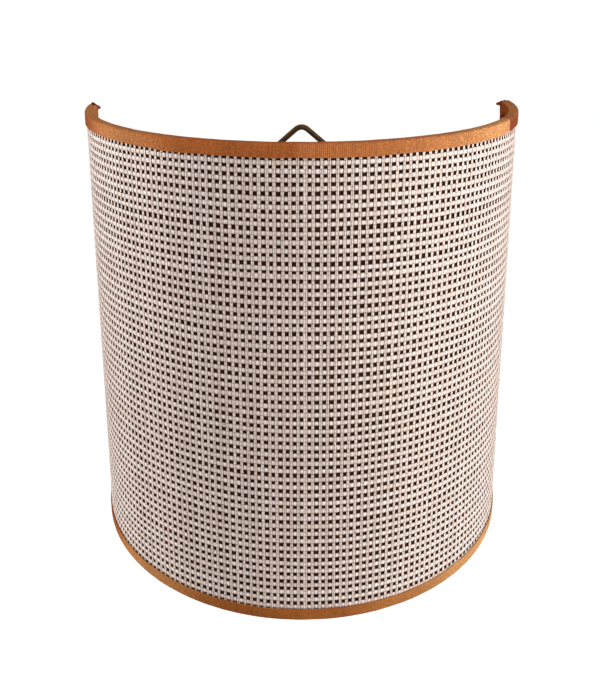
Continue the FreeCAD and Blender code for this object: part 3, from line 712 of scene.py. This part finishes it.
class LAMP_OT_weave(bpy.types.Operator):
    """Weave the raffia cover from level strands and paired upright yarns"""

    bl_idname = "lamp.weave"
    bl_label = "Raffia Weave"

    def execute(self, context):
        settings = context.scene.lamp_weave
        shared = {
            "Strands": 1, "First Strand": 0, "Columns": float(settings.columns), "Pitch": settings.row_pitch,
            "First Column": settings.first_column, "Closing": settings.row_closing, "Dip": settings.row_dip,
            "Slant": settings.row_slant, "Easing": settings.slant_easing, "Depth": settings.depth,
        }
        self.weave_strands(settings, shared)
        self.weave_yarns(settings, shared)
        return {"FINISHED"}

    def weave_strands(self, settings, shared):
        length = math.pi * (BOTTOM_RADIUS + TOP_RADIUS) / 2
        material = raffia_finish("raffia_strand", settings, length, settings.columns, settings.first_column)
        sizes = {
            **shared, "Sides": 8, "Steps": settings.columns * 5, "Width": settings.weft_width,
            "Thickness": settings.weft_thickness, "Bulge": 0.13 * MM, "Crossing": 0.04 * MM,
            "Wander": settings.wander, "Margin": 1.3 * MM,
        }
        names = ("strands_lower", "strands_middle", "strands_upper")
        self.grow_shares(names, weft_tree(material, sizes), sizes, settings.rows)

    def weave_yarns(self, settings, shared):
        material = raffia_finish("raffia_yarn", settings, SHADE_HEIGHT, settings.rows, ROW_START)
        sizes = {
            **shared, "Sides": 6, "Steps": settings.rows * 3, "Rows": float(settings.rows),
            "Width": settings.yarn_width, "Thickness": settings.yarn_thickness, "Crossing": 0.08 * MM,
            "Lift": 0.08 * MM, "Wander": settings.wander * 0.7, "Margin": 0.2 * MM,
            "Spread": settings.yarn_spread, "Stray Pair": float(settings.stray_pair), "Stray": settings.stray,
        }
        names = ("yarns_left", "yarns_middle", "yarns_right")
        self.grow_shares(names, yarn_tree(material, sizes), sizes, 2 * settings.columns)

    def grow_shares(self, names, tree, sizes, strands):
        """Grow a weave's strands as a few pieces, each with its share of them."""
        first = 0
        for i, name in enumerate(names):
            last = strands * (i + 1) // len(names)
            piece = grown(name, tree, {**sizes, "Strands": last - first, "First Strand": first})
            settle(piece, "lamp", "raffia", "raffia_cover")
            first = last


class LAMP_OT_liner(bpy.types.Operator):
    """Finish the brown sheet behind the weave"""

    bl_idname = "lamp.liner"
    bl_label = "Liner"

    def execute(self, context):
        dress(liner_finish(context.scene.lamp_weave), "liner")
        return {"FINISHED"}


# Ribbons


class LAMP_PG_ribbon(bpy.types.PropertyGroup):
    """The ribbon folded over the shade's edges."""

    leg: Length("Leg", "Ribbon outside the bottom and rear edges", 5.5)
    top_leg: Length("Top leg", "Ribbon outside the top edge", 4.8)
    wall: Length("Wall", "Thickness of the ribbon", 0.38)
    under: Length("Glue line", "Gap under the ribbon", 0.05)
    backing: Length("Backing", "Weave and liner together", 1.35)
    wire: Length("Wire", "Frame wire inside the fold", 2.0)
    tail: Length("Tail", "Ribbon glued to the liner", 1.8)
    fold: Length("Fold", "Radius of the folds", 0.85)
    lap: Angle("Lap", "Arc of the lapped end", 32)
    ripple: Length("Ripple", "Unevenness of the ribbon's edge", 0.2)
    sag: Length("Sag", "Sag of the top ribbon's inner side at the rear", 1.2)
    sag_reach: Length("Sag reach", "Length over which the top ribbon sags", 6.0)
    right_ear: Length("Right ear", "Length of the corner at the right rear", 2.9)
    left_ear: Length("Left ear", "Length of the corner at the left rear", 2.1)
    slack: Length("Slack", "Bottom fold below the shade's edge", 0.4)
    rise: Length("Rise", "Left rear end of the ribbon above the rim", 0.7)
    rib_pitch: Length("Rib pitch", "Between the ribbon's ribs", 0.7)
    rib_start: Length("Rib start", "Where the ribs start, from the front", -9.0)
    rib_end: Length("Rib end", "Where the ribs have faded out, from the front", 85.0)
    # Painted sheen: the gold that stands for the ribbon catching the lamps, from where it starts to where it
    # is full.
    sheen_start: Length("Gold start", "Where the ribbon turns golden, from the front", 8.0)
    sheen_full: Length("Gold full", "Where the ribbon is golden, from the front", 110.0)
    fold_shade: Factor("Fold shade", "How far the ribbon darkens past its outer fold", 0.35)
    copper: Colour("Copper", "Ribbon of the top edge", 0.37, 0.105, 0.028)
    lap_copper: Colour("Lapped copper", "Redder lapped end of the ribbon", 0.215, 0.052, 0.0215)
    # Painted light: the top face of the lapped end and of the left end, browner and lighter than their
    # fronts.
    painted_top_copper: Colour("Browner copper", "Lapped end past its outer fold", 0.32, 0.125, 0.043)
    side_copper: Colour("Side copper", "Ribbon of the rear edges", 0.2, 0.036, 0.014)
    bottom_copper: Colour("Bottom copper", "Ribbon of the bottom edge", 0.32, 0.1, 0.024)
    # Painted shade on the ribbon's inner side.
    painted_inner_shade: Colour("Inner copper", "Ribbon inside the fold", 0.12, 0.021, 0.005)
    # Painted sheen and glints on the ribbon.
    painted_sheen_gold: Colour("Sparkle", "Bright threads in the ribbon", 0.89, 0.585, 0.27)


def rounded_line(corners, radius, steps=4):
    """Points along a line whose inner corners are rounded."""
    points = [corners[0]]
    for before, corner, after in zip(corners, corners[1:], corners[2:]):
        back = before - corner
        on = after - corner
        trim = radius * math.tan((math.pi - back.angle(on)) / 2)
        trim = min(trim, back.length * 0.48, on.length * 0.48)
        start = corner + back.normalized() * trim
        end = corner + on.normalized() * trim
        for i in range(steps + 1):
            share = i / steps
            points.append(start * (1 - share) ** 2 + corner * 2 * share * (1 - share) + end * share ** 2)
    return points + [corners[-1]]


def inner_depth(settings):
    """How far the ribbon's inner side reaches from the shade's edge."""
    return 2 * settings.wire + settings.tail


def fold_line(settings, leg, lift=0.0, hangs=False):
    """Middle of the folded ribbon, as insets and depths from the shade's edge.

    Its inner side ends glued to the liner, or hangs nearly straight.
    """
    middle = settings.under + settings.wall / 2 + lift
    inside = settings.backing + settings.under + settings.wire + middle
    end = inside - 0.1 * MM if hangs else settings.backing + middle
    depth = inner_depth(settings)
    leaves_wire = depth - 1.5 * MM
    meets_liner = depth - 0.7 * MM
    corners = (
        (-middle, leg), (-middle, -middle), (inside, -middle),
        (inside, leaves_wire), (end, meets_liner), (end, depth),
    )
    return rounded_line([Vector(corner) for corner in corners], settings.fold)


def two_faces(line, wall):
    """The line moved to each side by half the wall, as insets and depths, outer face first."""
    asides = []
    for i in range(len(line)):
        run = line[min(i + 1, len(line) - 1)] - line[max(i - 1, 0)]
        asides.append(Vector((run.y, -run.x)).normalized() * (wall / 2))
    outer = np.array([point + aside for point, aside in zip(line, asides)])
    inner = np.array([point - aside for point, aside in zip(line, asides)])
    return outer.T[:, None], inner.T[:, None]


def line_lengths(line):
    runs = [(b - a).length for a, b in zip(line, line[1:])]
    return np.concatenate([[0.0], np.cumsum(runs)])


def shell(outer, inner, along, across, flipped=False):
    """A closed strip between two facing skins, each a grid of points: rows along it, columns across it."""
    rows, columns = outer.shape[:2]
    skins = np.arange(2 * rows * columns).reshape(2, rows, columns)
    faces = [quads(grid) for grid in (skins[1], skins[:, :, 0].T, skins[:, -1].T)]
    faces += [quads(grid)[:, [0, 3, 2, 1]] for grid in (skins[0], skins[:, :, -1].T, skins[:, 0].T)]
    faces = np.concatenate(faces)
    if flipped:
        faces = faces[:, ::-1]
    points = np.concatenate([outer.reshape(-1, 3), inner.reshape(-1, 3)])
    numbers = [np.tile(np.broadcast_to(given, (rows, columns)).reshape(-1), 2) for given in (along, across)]
    return points, faces, *numbers


def cloth(name, material, *shells):
    """One piece of ribbon from closed strips."""
    points, faces, along, across = zip(*shells)
    starts = np.cumsum([0] + [len(strip) for strip in points])
    faces = np.concatenate([strip + start for strip, start in zip(faces, starts)])
    piece = meshed(name, material, np.concatenate(points), faces.tolist())
    for label, numbers in (("along", along), ("across", across)):
        piece.data.attributes.new(label, "FLOAT", "POINT").data.foreach_set("value", np.concatenate(numbers))
    piece.data.validate()
    return piece


def uneven(places, seed, waves):
    """A smooth seeded ripple between about -1 and 1."""
    chances = np.random.default_rng(seed)
    total = np.zeros_like(places)
    for wave in waves:
        total += np.sin(places * wave + chances.uniform(0, TURN)) * chances.uniform(0.5, 1.0)
    return total / len(waves) ** 0.5


def edge_ribbon(name, settings, material, at_top, first, wall, lift, seed):
    """A ribbon folded over the shade's top or bottom edge, from its first angle round to the right rear edge.

    At the shade's two rear corners the top ribbon sags, and its inner side hangs straight.
    """
    leg = settings.top_leg if at_top else settings.leg
    line = fold_line(settings, leg, lift)
    hung_line = fold_line(settings, leg, lift, hangs=True)
    angles = np.linspace(first, REAR, max(24, round((REAR - first) / RIBBON_STEP)))[:, None]
    frayed = uneven(angles, seed, FRAY_WAVES) * settings.ripple
    pressed = np.abs(uneven(angles, seed + 1, FOLD_WAVES)) * settings.ripple * 0.45
    before_end = (REAR - np.abs(angles)) * TOP_RADIUS
    sag = settings.sag * np.clip(1 - before_end / settings.sag_reach, 0.0, 1.0) ** 2 * at_top
    hanging = np.clip((LOOSE_START - before_end) / LOOSE_LENGTH, 0.0, 1.0) * at_top
    slack = 0.0 if at_top else settings.slack
    skins = []
    for face, hung in zip(two_faces(line, wall), two_faces(hung_line, wall)):
        inset, depth = face + (hung - face) * hanging
        reach = np.clip(depth / leg, 0.0, 1.0)
        inward = np.clip(inset / (settings.backing + settings.wire), 0.0, 1.0)
        depth = depth + frayed * reach * (inset < OUTER_SIDE) + (pressed + sag * inward - slack) * (1 - reach)
        height = SHADE_HEIGHT - depth if at_top else depth
        radius = BOTTOM_RADIUS - FLARE * height - inset
        skins.append(round_shade(radius, angles, BOTTOM_Z + height))
    along = angles * (TOP_RADIUS if at_top else BOTTOM_RADIUS)
    across = line_lengths(line)
    piece = cloth(name, material, shell(*skins, along, across, flipped=at_top))
    return piece


class LAMP_OT_edge_ribbons(bpy.types.Operator):
    """Fold the copper ribbon over the shade's top and bottom edges, with the lapped end at the right"""

    bl_idname = "lamp.edge_ribbons"
    bl_label = "Edge Ribbons"

    def execute(self, context):
        settings = context.scene.lamp_ribbon
        top = ribbon_finish("copper_top", settings, settings.copper, settings.top_leg)
        bottom = ribbon_finish("copper_bottom", settings, settings.bottom_copper, settings.leg, ribs=0.2)
        lapped = ribbon_finish("copper_lap", settings, settings.lap_copper, settings.top_leg, painted_sheen_and_red_end=0.0,
                               over=settings.painted_top_copper)
        thin = settings.wall * 0.5
        over_top = thin / 2 + 0.06 * MM
        for name, material, at_top, first, wall, lift, seed, node in (
            ("top_ribbon", top, True, -REAR, settings.wall, 0.0, 3, "top_trim"),
            ("bottom_ribbon", bottom, False, -REAR, settings.wall, 0.0, 8, "bottom_trim"),
            ("lap_ribbon", lapped, True, REAR - settings.lap, thin, over_top, 3, "trim_lap"),
        ):
            piece = edge_ribbon(name, settings, material, at_top, first, wall, lift, seed)
            settle(piece, "lamp", "ribbon", node)
        return {"FINISHED"}


class LAMP_OT_side_ribbons(bpy.types.Operator):
    """Fold the copper ribbon round the shade's two rear edges, its ends flat over the edge ribbons"""

    bl_idname = "lamp.side_ribbons"
    bl_label = "Side Ribbons"

    def execute(self, context):
        settings = context.scene.lamp_ribbon
        material = ribbon_finish("copper_side", settings, settings.side_copper, settings.leg, painted_sheen_and_red_end=0.0)
        clear = 0.2 * MM
        start = max(settings.leg, inner_depth(settings)) + clear
        end = SHADE_HEIGHT - max(settings.top_leg, inner_depth(settings)) - clear
        over = settings.under + settings.wall
        width = line_lengths(fold_line(settings, settings.leg))[-1]
        for name, side, node, strut, seed, ear, rise in (
            ("side_ribbon_right", 1, "side_trim_right", "strut_right", 21, settings.right_ear, 0.0),
            ("side_ribbon_left", -1, "side_trim_left", "strut_left", 34, settings.left_ear, settings.rise),
        ):
            piece = cloth(
                name, material,
                self.fold(settings, side, start, end, seed),
                self.flap(settings, side, start + MM, -over),
                self.flap(settings, side, end - MM, SHADE_HEIGHT + over + rise),
                self.ear(settings, side, ear),
            )
            settle(piece, "lamp", "ribbon", node)
        return {"FINISHED"}

    def fold(self, settings, side, start, end, seed):
        """The long fold. Its outer side runs on until it is under the ribbons of the top and bottom edges."""
        line = fold_line(settings, settings.leg)
        overlap = 0.5 * MM
        share = np.linspace(0.0, 1.0, 140)[:, None]
        ripple = uneven(share, seed, SIDE_WAVES) * settings.ripple
        skins = []
        for inset, depth in two_faces(line, settings.wall * 0.85):
            outside = np.clip(0.5 - inset / MM, 0.0, 1.0)
            low = start + (settings.leg - overlap - start) * outside
            high = end + (SHADE_HEIGHT - settings.top_leg + overlap - end) * outside
            heights = low + (high - low) * share
            depth = depth + ripple * np.clip(depth / settings.leg, 0.0, 1.0) * (inset < OUTER_SIDE)
            radius = BOTTOM_RADIUS - FLARE * heights
            angle = np.clip(depth, 0.0, None) / radius
            radius = radius - inset
            y = AXIS_Y - radius * np.sin(angle) - np.clip(depth, None, 0.0)
            skins.append(placed(side * radius * np.cos(angle), y, BOTTOM_Z + heights))
        return shell(*skins, share * SHADE_HEIGHT, line_lengths(line), flipped=side < 0)

    def flap(self, settings, side, start, end):
        """The ribbon's flat end against the wall, over the end of an edge ribbon, with a rounded tip."""
        middle = 1.3 * MM
        tip_start = 0.6
        tip_width = 0.12
        share = np.linspace(0.0, 1.0, 16)[:, None]
        heights = start + (end - start) * share
        tip = np.clip((share - tip_start) / (1 - tip_start), 0.0, 1.0)
        rounded = np.sqrt(1 - tip ** 2)
        insets = np.linspace(0.2 * MM, settings.backing + settings.wire, 9)
        insets = middle + (insets - middle) * (tip_width + (1 - tip_width) * rounded)
        x = side * (BOTTOM_RADIUS - FLARE * heights - insets)
        lifts = (settings.under + settings.wall, settings.under)
        skins = [placed(x, AXIS_Y + lift, BOTTOM_Z + heights) for lift in lifts]
        return shell(*skins, heights, settings.leg + MM, flipped=(side < 0) != (end < start))

    def ear(self, settings, side, length):
        """A corner of ribbon that stands in from the rear end of the top edge."""
        root = TOP_RADIUS - settings.backing - settings.wire + 0.4 * MM
        breadth = 2.6 * MM
        from_wall = 0.3 * MM
        share = np.linspace(0.0, 1.0, 6)[:, None]
        x = side * (root - share * length)
        y = AXIS_Y - from_wall - np.linspace(0.0, 1.0, 5) * breadth * (1 - 0.85 * share) ** 0.7
        middle = TOP_Z - (0.9 + 0.36 * share) * MM
        half = (1.25 - 0.85 * share) * MM
        skins = [placed(x, y, z) for z in (middle + half, middle - half)]
        return shell(*skins, share * length, settings.leg + MM, flipped=side > 0)


# Wire frame


class LAMP_PG_metal(bpy.types.PropertyGroup):
    """Colours of the wire, the lampholder and the bulb."""

    bronze: Colour("Bronze", "Lacquer on the frame's wire", 0.066, 0.034, 0.013)
    bronze_worn: Colour("Worn bronze", "Rubbed wire", 0.1, 0.055, 0.022)
    holder_black: Colour("Holder black", "Moulded lampholder", 0.022, 0.021, 0.02)
    inlet_grey: Colour("Inlet grey", "Moulded cord inlet", 0.05, 0.048, 0.045)
    ceramic: Colour("Ceramic", "Lampholder's insert", 0.8, 0.78, 0.72)
    brass: Colour("Brass", "Contacts and shell", 0.75, 0.55, 0.25)
    cap_metal: Colour("Cap metal", "Bulb's screw cap", 0.72, 0.72, 0.71)
    insulator: Colour("Insulator", "Black ring under the bulb's cap", 0.01, 0.01, 0.012)
    phosphor: Colour("Phosphor", "Coat on the filaments", 0.85, 0.6, 0.12)


def tube(name, material, path, radius, sides=10):
    """A round wire along a line of points, closed at both ends."""
    runs = np.gradient(path, axis=0)
    runs /= np.linalg.norm(runs, axis=1, keepdims=True)
    aside = np.cross(runs, (0.0, 0.0, 1.0))
    aside /= np.linalg.norm(aside, axis=1, keepdims=True)
    above = np.cross(aside, runs)
    turn = np.linspace(0.0, TURN, sides, endpoint=False)[None, :, None]
    points = path[:, None] + radius * (np.cos(turn) * aside[:, None] + np.sin(turn) * above[:, None])
    rings = np.arange(len(path) * sides).reshape(-1, sides)
    ends = [rings[0].tolist(), rings[-1, ::-1].tolist()]
    return meshed(name, material, points, quads(np.hstack([rings, rings[:, :1]])).tolist() + ends)


def bead_tree(material, sizes):
    """Weld beads at the four corners where the arms meet the lower bar and the fitter ring."""
    board = Growth("weld_beads", sizes)
    given = board.given
    corners = board.add("GeometryNodeMeshGrid", {
        "Size X": given["Spread"], "Size Y": given["Length"], "Vertices X": 2, "Vertices Y": 2,
    })
    bead = board.add("GeometryNodeMeshIcoSphere", {"Radius": given["Radius"], "Subdivisions": 2})
    spread = {"Min": (0.85, 0.9, 0.75), "Max": (1.2, 1.25, 1.0), "Seed": 5}
    swell = board.add("FunctionNodeRandomValue", spread, data_type="FLOAT_VECTOR")
    beads = board.add("GeometryNodeInstanceOnPoints", {"Points": corners, "Instance": bead, "Scale": swell})
    beads = board.add("GeometryNodeRealizeInstances", {"Geometry": beads})
    place = board.vector(0.0, given["Middle"], given["Height"])
    beads = board.add("GeometryNodeTransform", {"Geometry": beads, "Translation": place})
    return board.finished(beads, material)


class LAMP_OT_wire_frame(bpy.types.Operator):
    """Finish the wire frame, its hanging kink and its fitter ring, with the top ring short of the corners"""

    bl_idname = "lamp.wire_frame"
    bl_label = "Wire Frame"

    def execute(self, context):
        bronze = wire_finish(context.scene.lamp_metal)
        dress(bronze, "bottom_ring", "strut_right", "strut_left", "hanger_bar", "lamp_bar",
              "fitter_arm_right", "fitter_arm_left", "fitter_ring")
        self.top_ring(bronze)
        self.beads(bronze)
        return {"FINISHED"}

    def top_ring(self, material):
        short = 6 * MM
        low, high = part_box("top_ring")
        thick = (high.z - low.z) / 2
        radius = high.x - thick
        reach = REAR - short / radius
        path = round_shade(radius, np.linspace(-reach, reach, 160), low.z + thick)
        settle(tube("top_ring_wire", material, path, thick), "lamp", "frame_wire", "top_ring")

    def beads(self, material):
        low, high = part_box("fitter_arm_right")
        sizes = {
            "Spread": low.x + high.x, "Length": high.y - low.y - 0.6 * MM, "Radius": 1.35 * MM,
            "Middle": (low.y + high.y) / 2, "Height": (low.z + high.z) / 2,
        }
        settle(grown("weld_beads", bead_tree(material, sizes), sizes), "lamp", "frame_wire")


# Lampholder and bulb


class LAMP_PG_thread(bpy.types.PropertyGroup):
    """Turned and threaded pieces on the lamp's axis."""

    bore: Length("Bore", "Radius inside the sleeve", 11.25)
    spigot: Length("Spigot", "Radius of the sleeve below its flange", 13.0)
    sleeve: Length("Sleeve", "Radius of the sleeve over its thread", 13.9)
    rise: Length("Rise", "Sleeve above its flange", 28.0)
    flange: Length("Flange", "Thickness of the flange", 3.0)
    sleeve_pitch: Length("Sleeve pitch", "Pitch of the sleeve's thread", 2.0)
    sleeve_depth: Length("Sleeve depth", "Depth of the sleeve's thread", 0.55)
    sheet: Length("Sheet", "Sheet of the bulb's cap", 0.3)
    shell_sheet: Length("Shell sheet", "Sheet of the screw shell", 0.4)
    plain: Length("Plain", "Plain upper part of the bulb's cap", 4.5)
    cap_pitch: Length("Cap pitch", "Pitch of the bulb's thread", 2.82)
    cap_depth: Length("Cap depth", "Depth of the bulb's thread", 0.5)
    inlet: Length("Inlet", "Radius of the cord inlet's shank", 5.0)
    inlet_bore: Length("Inlet bore", "Radius inside the cord inlet", 3.2)
    inlet_head: Length("Inlet head", "Height of the cord inlet's head", 5.0)
    inlet_pitch: Length("Inlet pitch", "Pitch of the cord inlet's thread", 1.0)
    inlet_depth: Length("Inlet depth", "Depth of the cord inlet's thread", 0.3)


def threaded_wall(radius, bottom, top, pitch, depth):
    """Points up a wall whose thread fades out at both ends, as radius, height and depth."""
    heights = np.linspace(bottom, top, round((top - bottom) / pitch * 8) + 1)
    fade = np.clip(np.minimum(heights - bottom, top - heights) / pitch, 0.0, 1.0)
    return [(radius, height, depth * share) for height, share in zip(heights, fade)]


def two_walls(radius, sheet, *wall):
    """The outer and the inner wall of a threaded sheet."""
    return [threaded_wall(face, *wall) for face in (radius, radius - sheet)]


def lathed(name, material, loop, pitch, sides=96):
    """A body turned about the lamp's axis from a closed loop of radius, height and depth of its thread."""
    radius, height, depth = np.array(loop).T
    angles = np.linspace(0.0, TURN, sides, endpoint=False)[:, None]
    groove = 0.5 - 0.5 * np.cos(TURN * (height / pitch) - angles)
    points = round_lamp(radius - depth * groove, angles, height)
    corners = np.arange(sides * len(loop)).reshape(sides, -1)
    return meshed(name, material, points, quads(np.pad(corners, ((0, 1), (0, 1)), "wrap")).tolist())


class LAMP_OT_lampholder(bpy.types.Operator):
    """Finish the lampholder's moulded parts, insert and contacts, and turn its threaded pieces"""

    bl_idname = "lamp.lampholder"
    bl_label = "Lampholder"

    def execute(self, context):
        colours = context.scene.lamp_metal
        sizes = context.scene.lamp_thread
        black = moulded_finish("holder_black", colours.holder_black, 0.42)
        brass = metal_finish("stamped_brass", colours.brass, 0.25)
        dress(black, "holder_cap", "shade_ring")
        dress(ceramic_finish(colours.ceramic), "holder_insert")
        dress(brass, "centre_contact", "terminal_screws")
        self.sleeve(sizes, black)
        self.ring_thread(sizes, black)
        self.screw_shell(sizes, brass)
        self.inlet(sizes, moulded_finish("inlet_grey", colours.inlet_grey, 0.55))
        return {"FINISHED"}

    def sleeve(self, sizes, material):
        low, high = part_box("holder_sleeve")
        top = high.z - sizes.rise
        loop = [
            (sizes.bore, low.z, 0.0), (sizes.spigot, low.z, 0.0), (sizes.spigot, top - sizes.flange, 0.0),
            (high.x, top - sizes.flange, 0.0), (high.x, top, 0.0),
            *threaded_wall(sizes.sleeve, top, high.z, sizes.sleeve_pitch, sizes.sleeve_depth),
            (sizes.bore, high.z, 0.0),
        ]
        piece = lathed("threaded_sleeve", material, loop, sizes.sleeve_pitch)
        settle(piece, "lamp", "holder_plastic", "holder_sleeve")

    def ring_thread(self, sizes, material):
        """The ridge inside the shade ring."""
        margin = 0.6 * MM
        clear = 0.15 * MM
        ridge = 0.25 * MM
        low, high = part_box("shade_ring")
        heights = np.linspace(low.z + margin, high.z - margin, 200)
        angles = heights / sizes.sleeve_pitch * TURN
        path = round_lamp(sizes.sleeve + clear, angles, heights)
        settle(tube("ring_thread", material, path, ridge, sides=6), "shade_ring", "holder_plastic")

    def screw_shell(self, sizes, material):
        low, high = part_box("screw_shell")
        depth = 0.36 * sizes.cap_depth
        outer, inner = two_walls(high.x, sizes.shell_sheet, low.z, high.z, sizes.cap_pitch, depth)
        piece = lathed("rolled_shell", material, outer + inner[::-1], sizes.cap_pitch)
        settle(piece, "lamp", "brass", "screw_shell")

    def inlet(self, sizes, material):
        chamfer = 0.6 * MM
        low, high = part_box("cord_inlet")
        head = low.z + sizes.inlet_head
        loop = [
            (sizes.inlet_bore, low.z, 0.0), (high.x - chamfer, low.z, 0.0), (high.x, low.z + chamfer, 0.0),
            (high.x, head, 0.0),
            *threaded_wall(sizes.inlet, head, high.z, sizes.inlet_pitch, sizes.inlet_depth),
            (sizes.inlet_bore, high.z, 0.0),
        ]
        piece = lathed("threaded_inlet", material, loop, sizes.inlet_pitch)
        settle(piece, "lamp", "inlet_plastic", "cord_inlet")


class LAMP_OT_bulb(bpy.types.Operator):
    """Finish the bulb's glass, tip and filaments, and roll the thread of its cap"""

    bl_idname = "lamp.bulb"
    bl_label = "Bulb"

    def execute(self, context):
        colours = context.scene.lamp_metal
        sizes = context.scene.lamp_thread
        rolled = metal_finish("rolled_cap", colours.cap_metal, 0.22)
        dress(glass_finish(), "bulb_globe", "filament_stem")
        dress(rolled, "bulb_tip")
        dress(moulded_finish("black_collet", colours.insulator, 0.15), "bulb_insulator")
        dress(phosphor_finish(colours.phosphor), "led_filaments")
        low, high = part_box("bulb_cap")
        thread_end = high.z - sizes.plain
        outer, inner = two_walls(high.x, sizes.sheet, low.z, thread_end, sizes.cap_pitch, sizes.cap_depth)
        loop = outer + [(high.x, high.z, 0.0), (high.x - sizes.sheet, high.z, 0.0)] + inner[::-1]
        settle(lathed("threaded_cap", rolled, loop, sizes.cap_pitch), "bulb", "bulb_cap_metal", "bulb_cap")
        return {"FINISHED"}


# Stage


class LAMP_PG_stage(bpy.types.PropertyGroup):
    """Camera, light and floor."""

    eye: Place("Eye", "Place of the camera", -19.11, -380.7, 67.73)
    swing: Angle("Swing", "Camera's turn towards the lamp's right", 2.7425)
    tilt: Angle("Tilt", "Camera's tilt down", 25.3195)
    roll: Angle("Roll", "Camera's lean to its right", 0.12)
    lens: Number("Lens", "Focal length in millimetres on a 36 mm film", 40.928)
    floor_depth: Length("Floor", "Floor below the lamp's origin", 1100.0)
    floor_half: Length("Floor half", "Half the floor's width", 6000.0)
    floor_white: Factor("Floor white", "Share of white light in the floor where it is seen", 0.8)
    floor_glow: Number("Floor glow", "Strength of that white light", 1.2)
    daylight: Number("Daylight", "Strength of the even light all round", 0.34)
    light_span: Length("Light span", "Width of each large lamp", 900.0)
    right_light: Number("Right light", "Power of the large lamp at the right", 26.5)
    right_place: Place("Right place", "Lamp at the right, from the object's middle", 1230.0, -570.0, 500.0)
    left_light: Number("Left light", "Power of the large lamp at the left", 21.0)
    left_place: Place("Left place", "Lamp at the left, from the object's middle", -1305.0, 100.0, 450.0)


def seen_directly(board):
    """1 for what the camera sees, straight or through metal and glass."""
    path = board.add("ShaderNodeLightPath")
    seen = path.output("Is Camera Ray") + path.output("Is Glossy Ray") + path.output("Is Transmission Ray")
    return seen > 0.5


class LAMP_OT_stage(bpy.types.Operator):
    """Set the pale floor, the soft light and the camera"""

    bl_idname = "lamp.stage"
    bl_label = "Stage"

    def execute(self, context):
        settings = context.scene.lamp_stage
        self.floor(settings)
        self.sky(context.scene, settings)
        self.soft_light("right_light", settings.light_span, settings.right_place, settings.right_light)
        self.soft_light("left_light", settings.light_span, settings.left_place, settings.left_light)
        self.camera(context.scene, settings)
        context.scene.view_settings.view_transform = "Standard"
        return {"FINISHED"}

    def floor(self, settings):
        half = settings.floor_half
        corners = [(-half, -half), (half, -half), (half, half), (-half, half)]
        mesh = bpy.data.meshes.new("floor")
        mesh.from_pydata([(x, y, -settings.floor_depth) for x, y in corners], [], [(0, 1, 2, 3)])
        board = Finish("pale_floor")
        pale = board.add("ShaderNodeBsdfDiffuse", {"Color": (0.9, 0.9, 0.9, 1.0)})
        white = board.add("ShaderNodeEmission", {"Color": WHITE, "Strength": settings.floor_glow})
        share = seen_directly(board) * settings.floor_white
        mix = board.add("ShaderNodeMixShader", {0: share, 1: pale, 2: white})
        mesh.materials.append(board.covered(mix))
        linked("floor", mesh)

    def sky(self, scene, settings):
        scene.world = bpy.data.worlds.new("studio")
        scene.world.use_nodes = True
        board = Board(scene.world.node_tree)
        board.tree.nodes.clear()
        strength = seen_directly(board) * (1 - settings.daylight) + settings.daylight
        even = board.add("ShaderNodeBackground", {"Color": WHITE, "Strength": strength})
        board.add("ShaderNodeOutputWorld", {"Surface": even})

    def soft_light(self, name, span, away, power):
        lamp = bpy.data.lights.new(name, "AREA")
        lamp.shape = "DISK"
        lamp.size = span
        lamp.energy = power
        light = linked(name, lamp)
        light.location = (CAD_BOX[0] + CAD_BOX[1]) / 2 + Vector(away)
        light.rotation_euler = (-Vector(away)).to_track_quat("-Z", "Y").to_euler()

    def camera(self, scene, settings):
        data = bpy.data.cameras.new("camera")
        data.lens = settings.lens
        data.sensor_width = FILM_WIDTH
        data.clip_start = 0.01
        camera = linked("camera", data)
        camera.location = settings.eye
        ahead = Vector((
            math.sin(settings.swing) * math.cos(settings.tilt),
            math.cos(settings.swing) * math.cos(settings.tilt),
            -math.sin(settings.tilt),
        ))
        lean = Quaternion((0.0, 0.0, 1.0), -settings.roll)
        camera.rotation_euler = (ahead.to_track_quat("-Z", "Y") @ lean).to_euler()
        scene.camera = camera


# Add-on


def scene_name(group):
    """Name under which the scene keeps a group of settings."""
    return group.__name__.replace("LAMP_PG", "lamp")


class LAMP_PT_sidebar(bpy.types.Panel):
    """Lists the lamp's sizes and the steps that make it"""

    bl_idname = "LAMP_PT_sidebar"
    bl_label = "Raffia Wall Lamp"
    bl_space_type = "VIEW_3D"
    bl_region_type = "UI"
    bl_category = "Wall Lamp"

    def draw(self, context):
        for group in GROUPS:
            box = self.layout.box()
            box.label(text=group.__doc__)
            for name in group.__annotations__:
                box.prop(getattr(context.scene, scene_name(group)), name)
        for step in STEPS:
            self.layout.operator(step.bl_idname)


GROUPS = (LAMP_PG_weave, LAMP_PG_ribbon, LAMP_PG_metal, LAMP_PG_thread, LAMP_PG_stage)
STEPS = (
    LAMP_OT_weave,
    LAMP_OT_liner,
    LAMP_OT_edge_ribbons,
    LAMP_OT_side_ribbons,
    LAMP_OT_wire_frame,
    LAMP_OT_lampholder,
    LAMP_OT_bulb,
    LAMP_OT_stage,
)
CLASSES = (*GROUPS, *STEPS, LAMP_PT_sidebar)


def register():
    for made in CLASSES:
        bpy.utils.register_class(made)
    for group in GROUPS:
        setattr(bpy.types.Scene, scene_name(group), PointerProperty(type=group))


def unregister():
    for group in GROUPS:
        delattr(bpy.types.Scene, scene_name(group))
    for made in reversed(CLASSES):
        bpy.utils.unregister_class(made)


def main():
    register()
    bpy.ops.lamp.weave()
    bpy.ops.lamp.liner()
    bpy.ops.lamp.edge_ribbons()
    bpy.ops.lamp.side_ribbons()
    bpy.ops.lamp.wire_frame()
    bpy.ops.lamp.lampholder()
    bpy.ops.lamp.bulb()
    bpy.ops.lamp.stage()


if __name__ == "__main__":
    main()
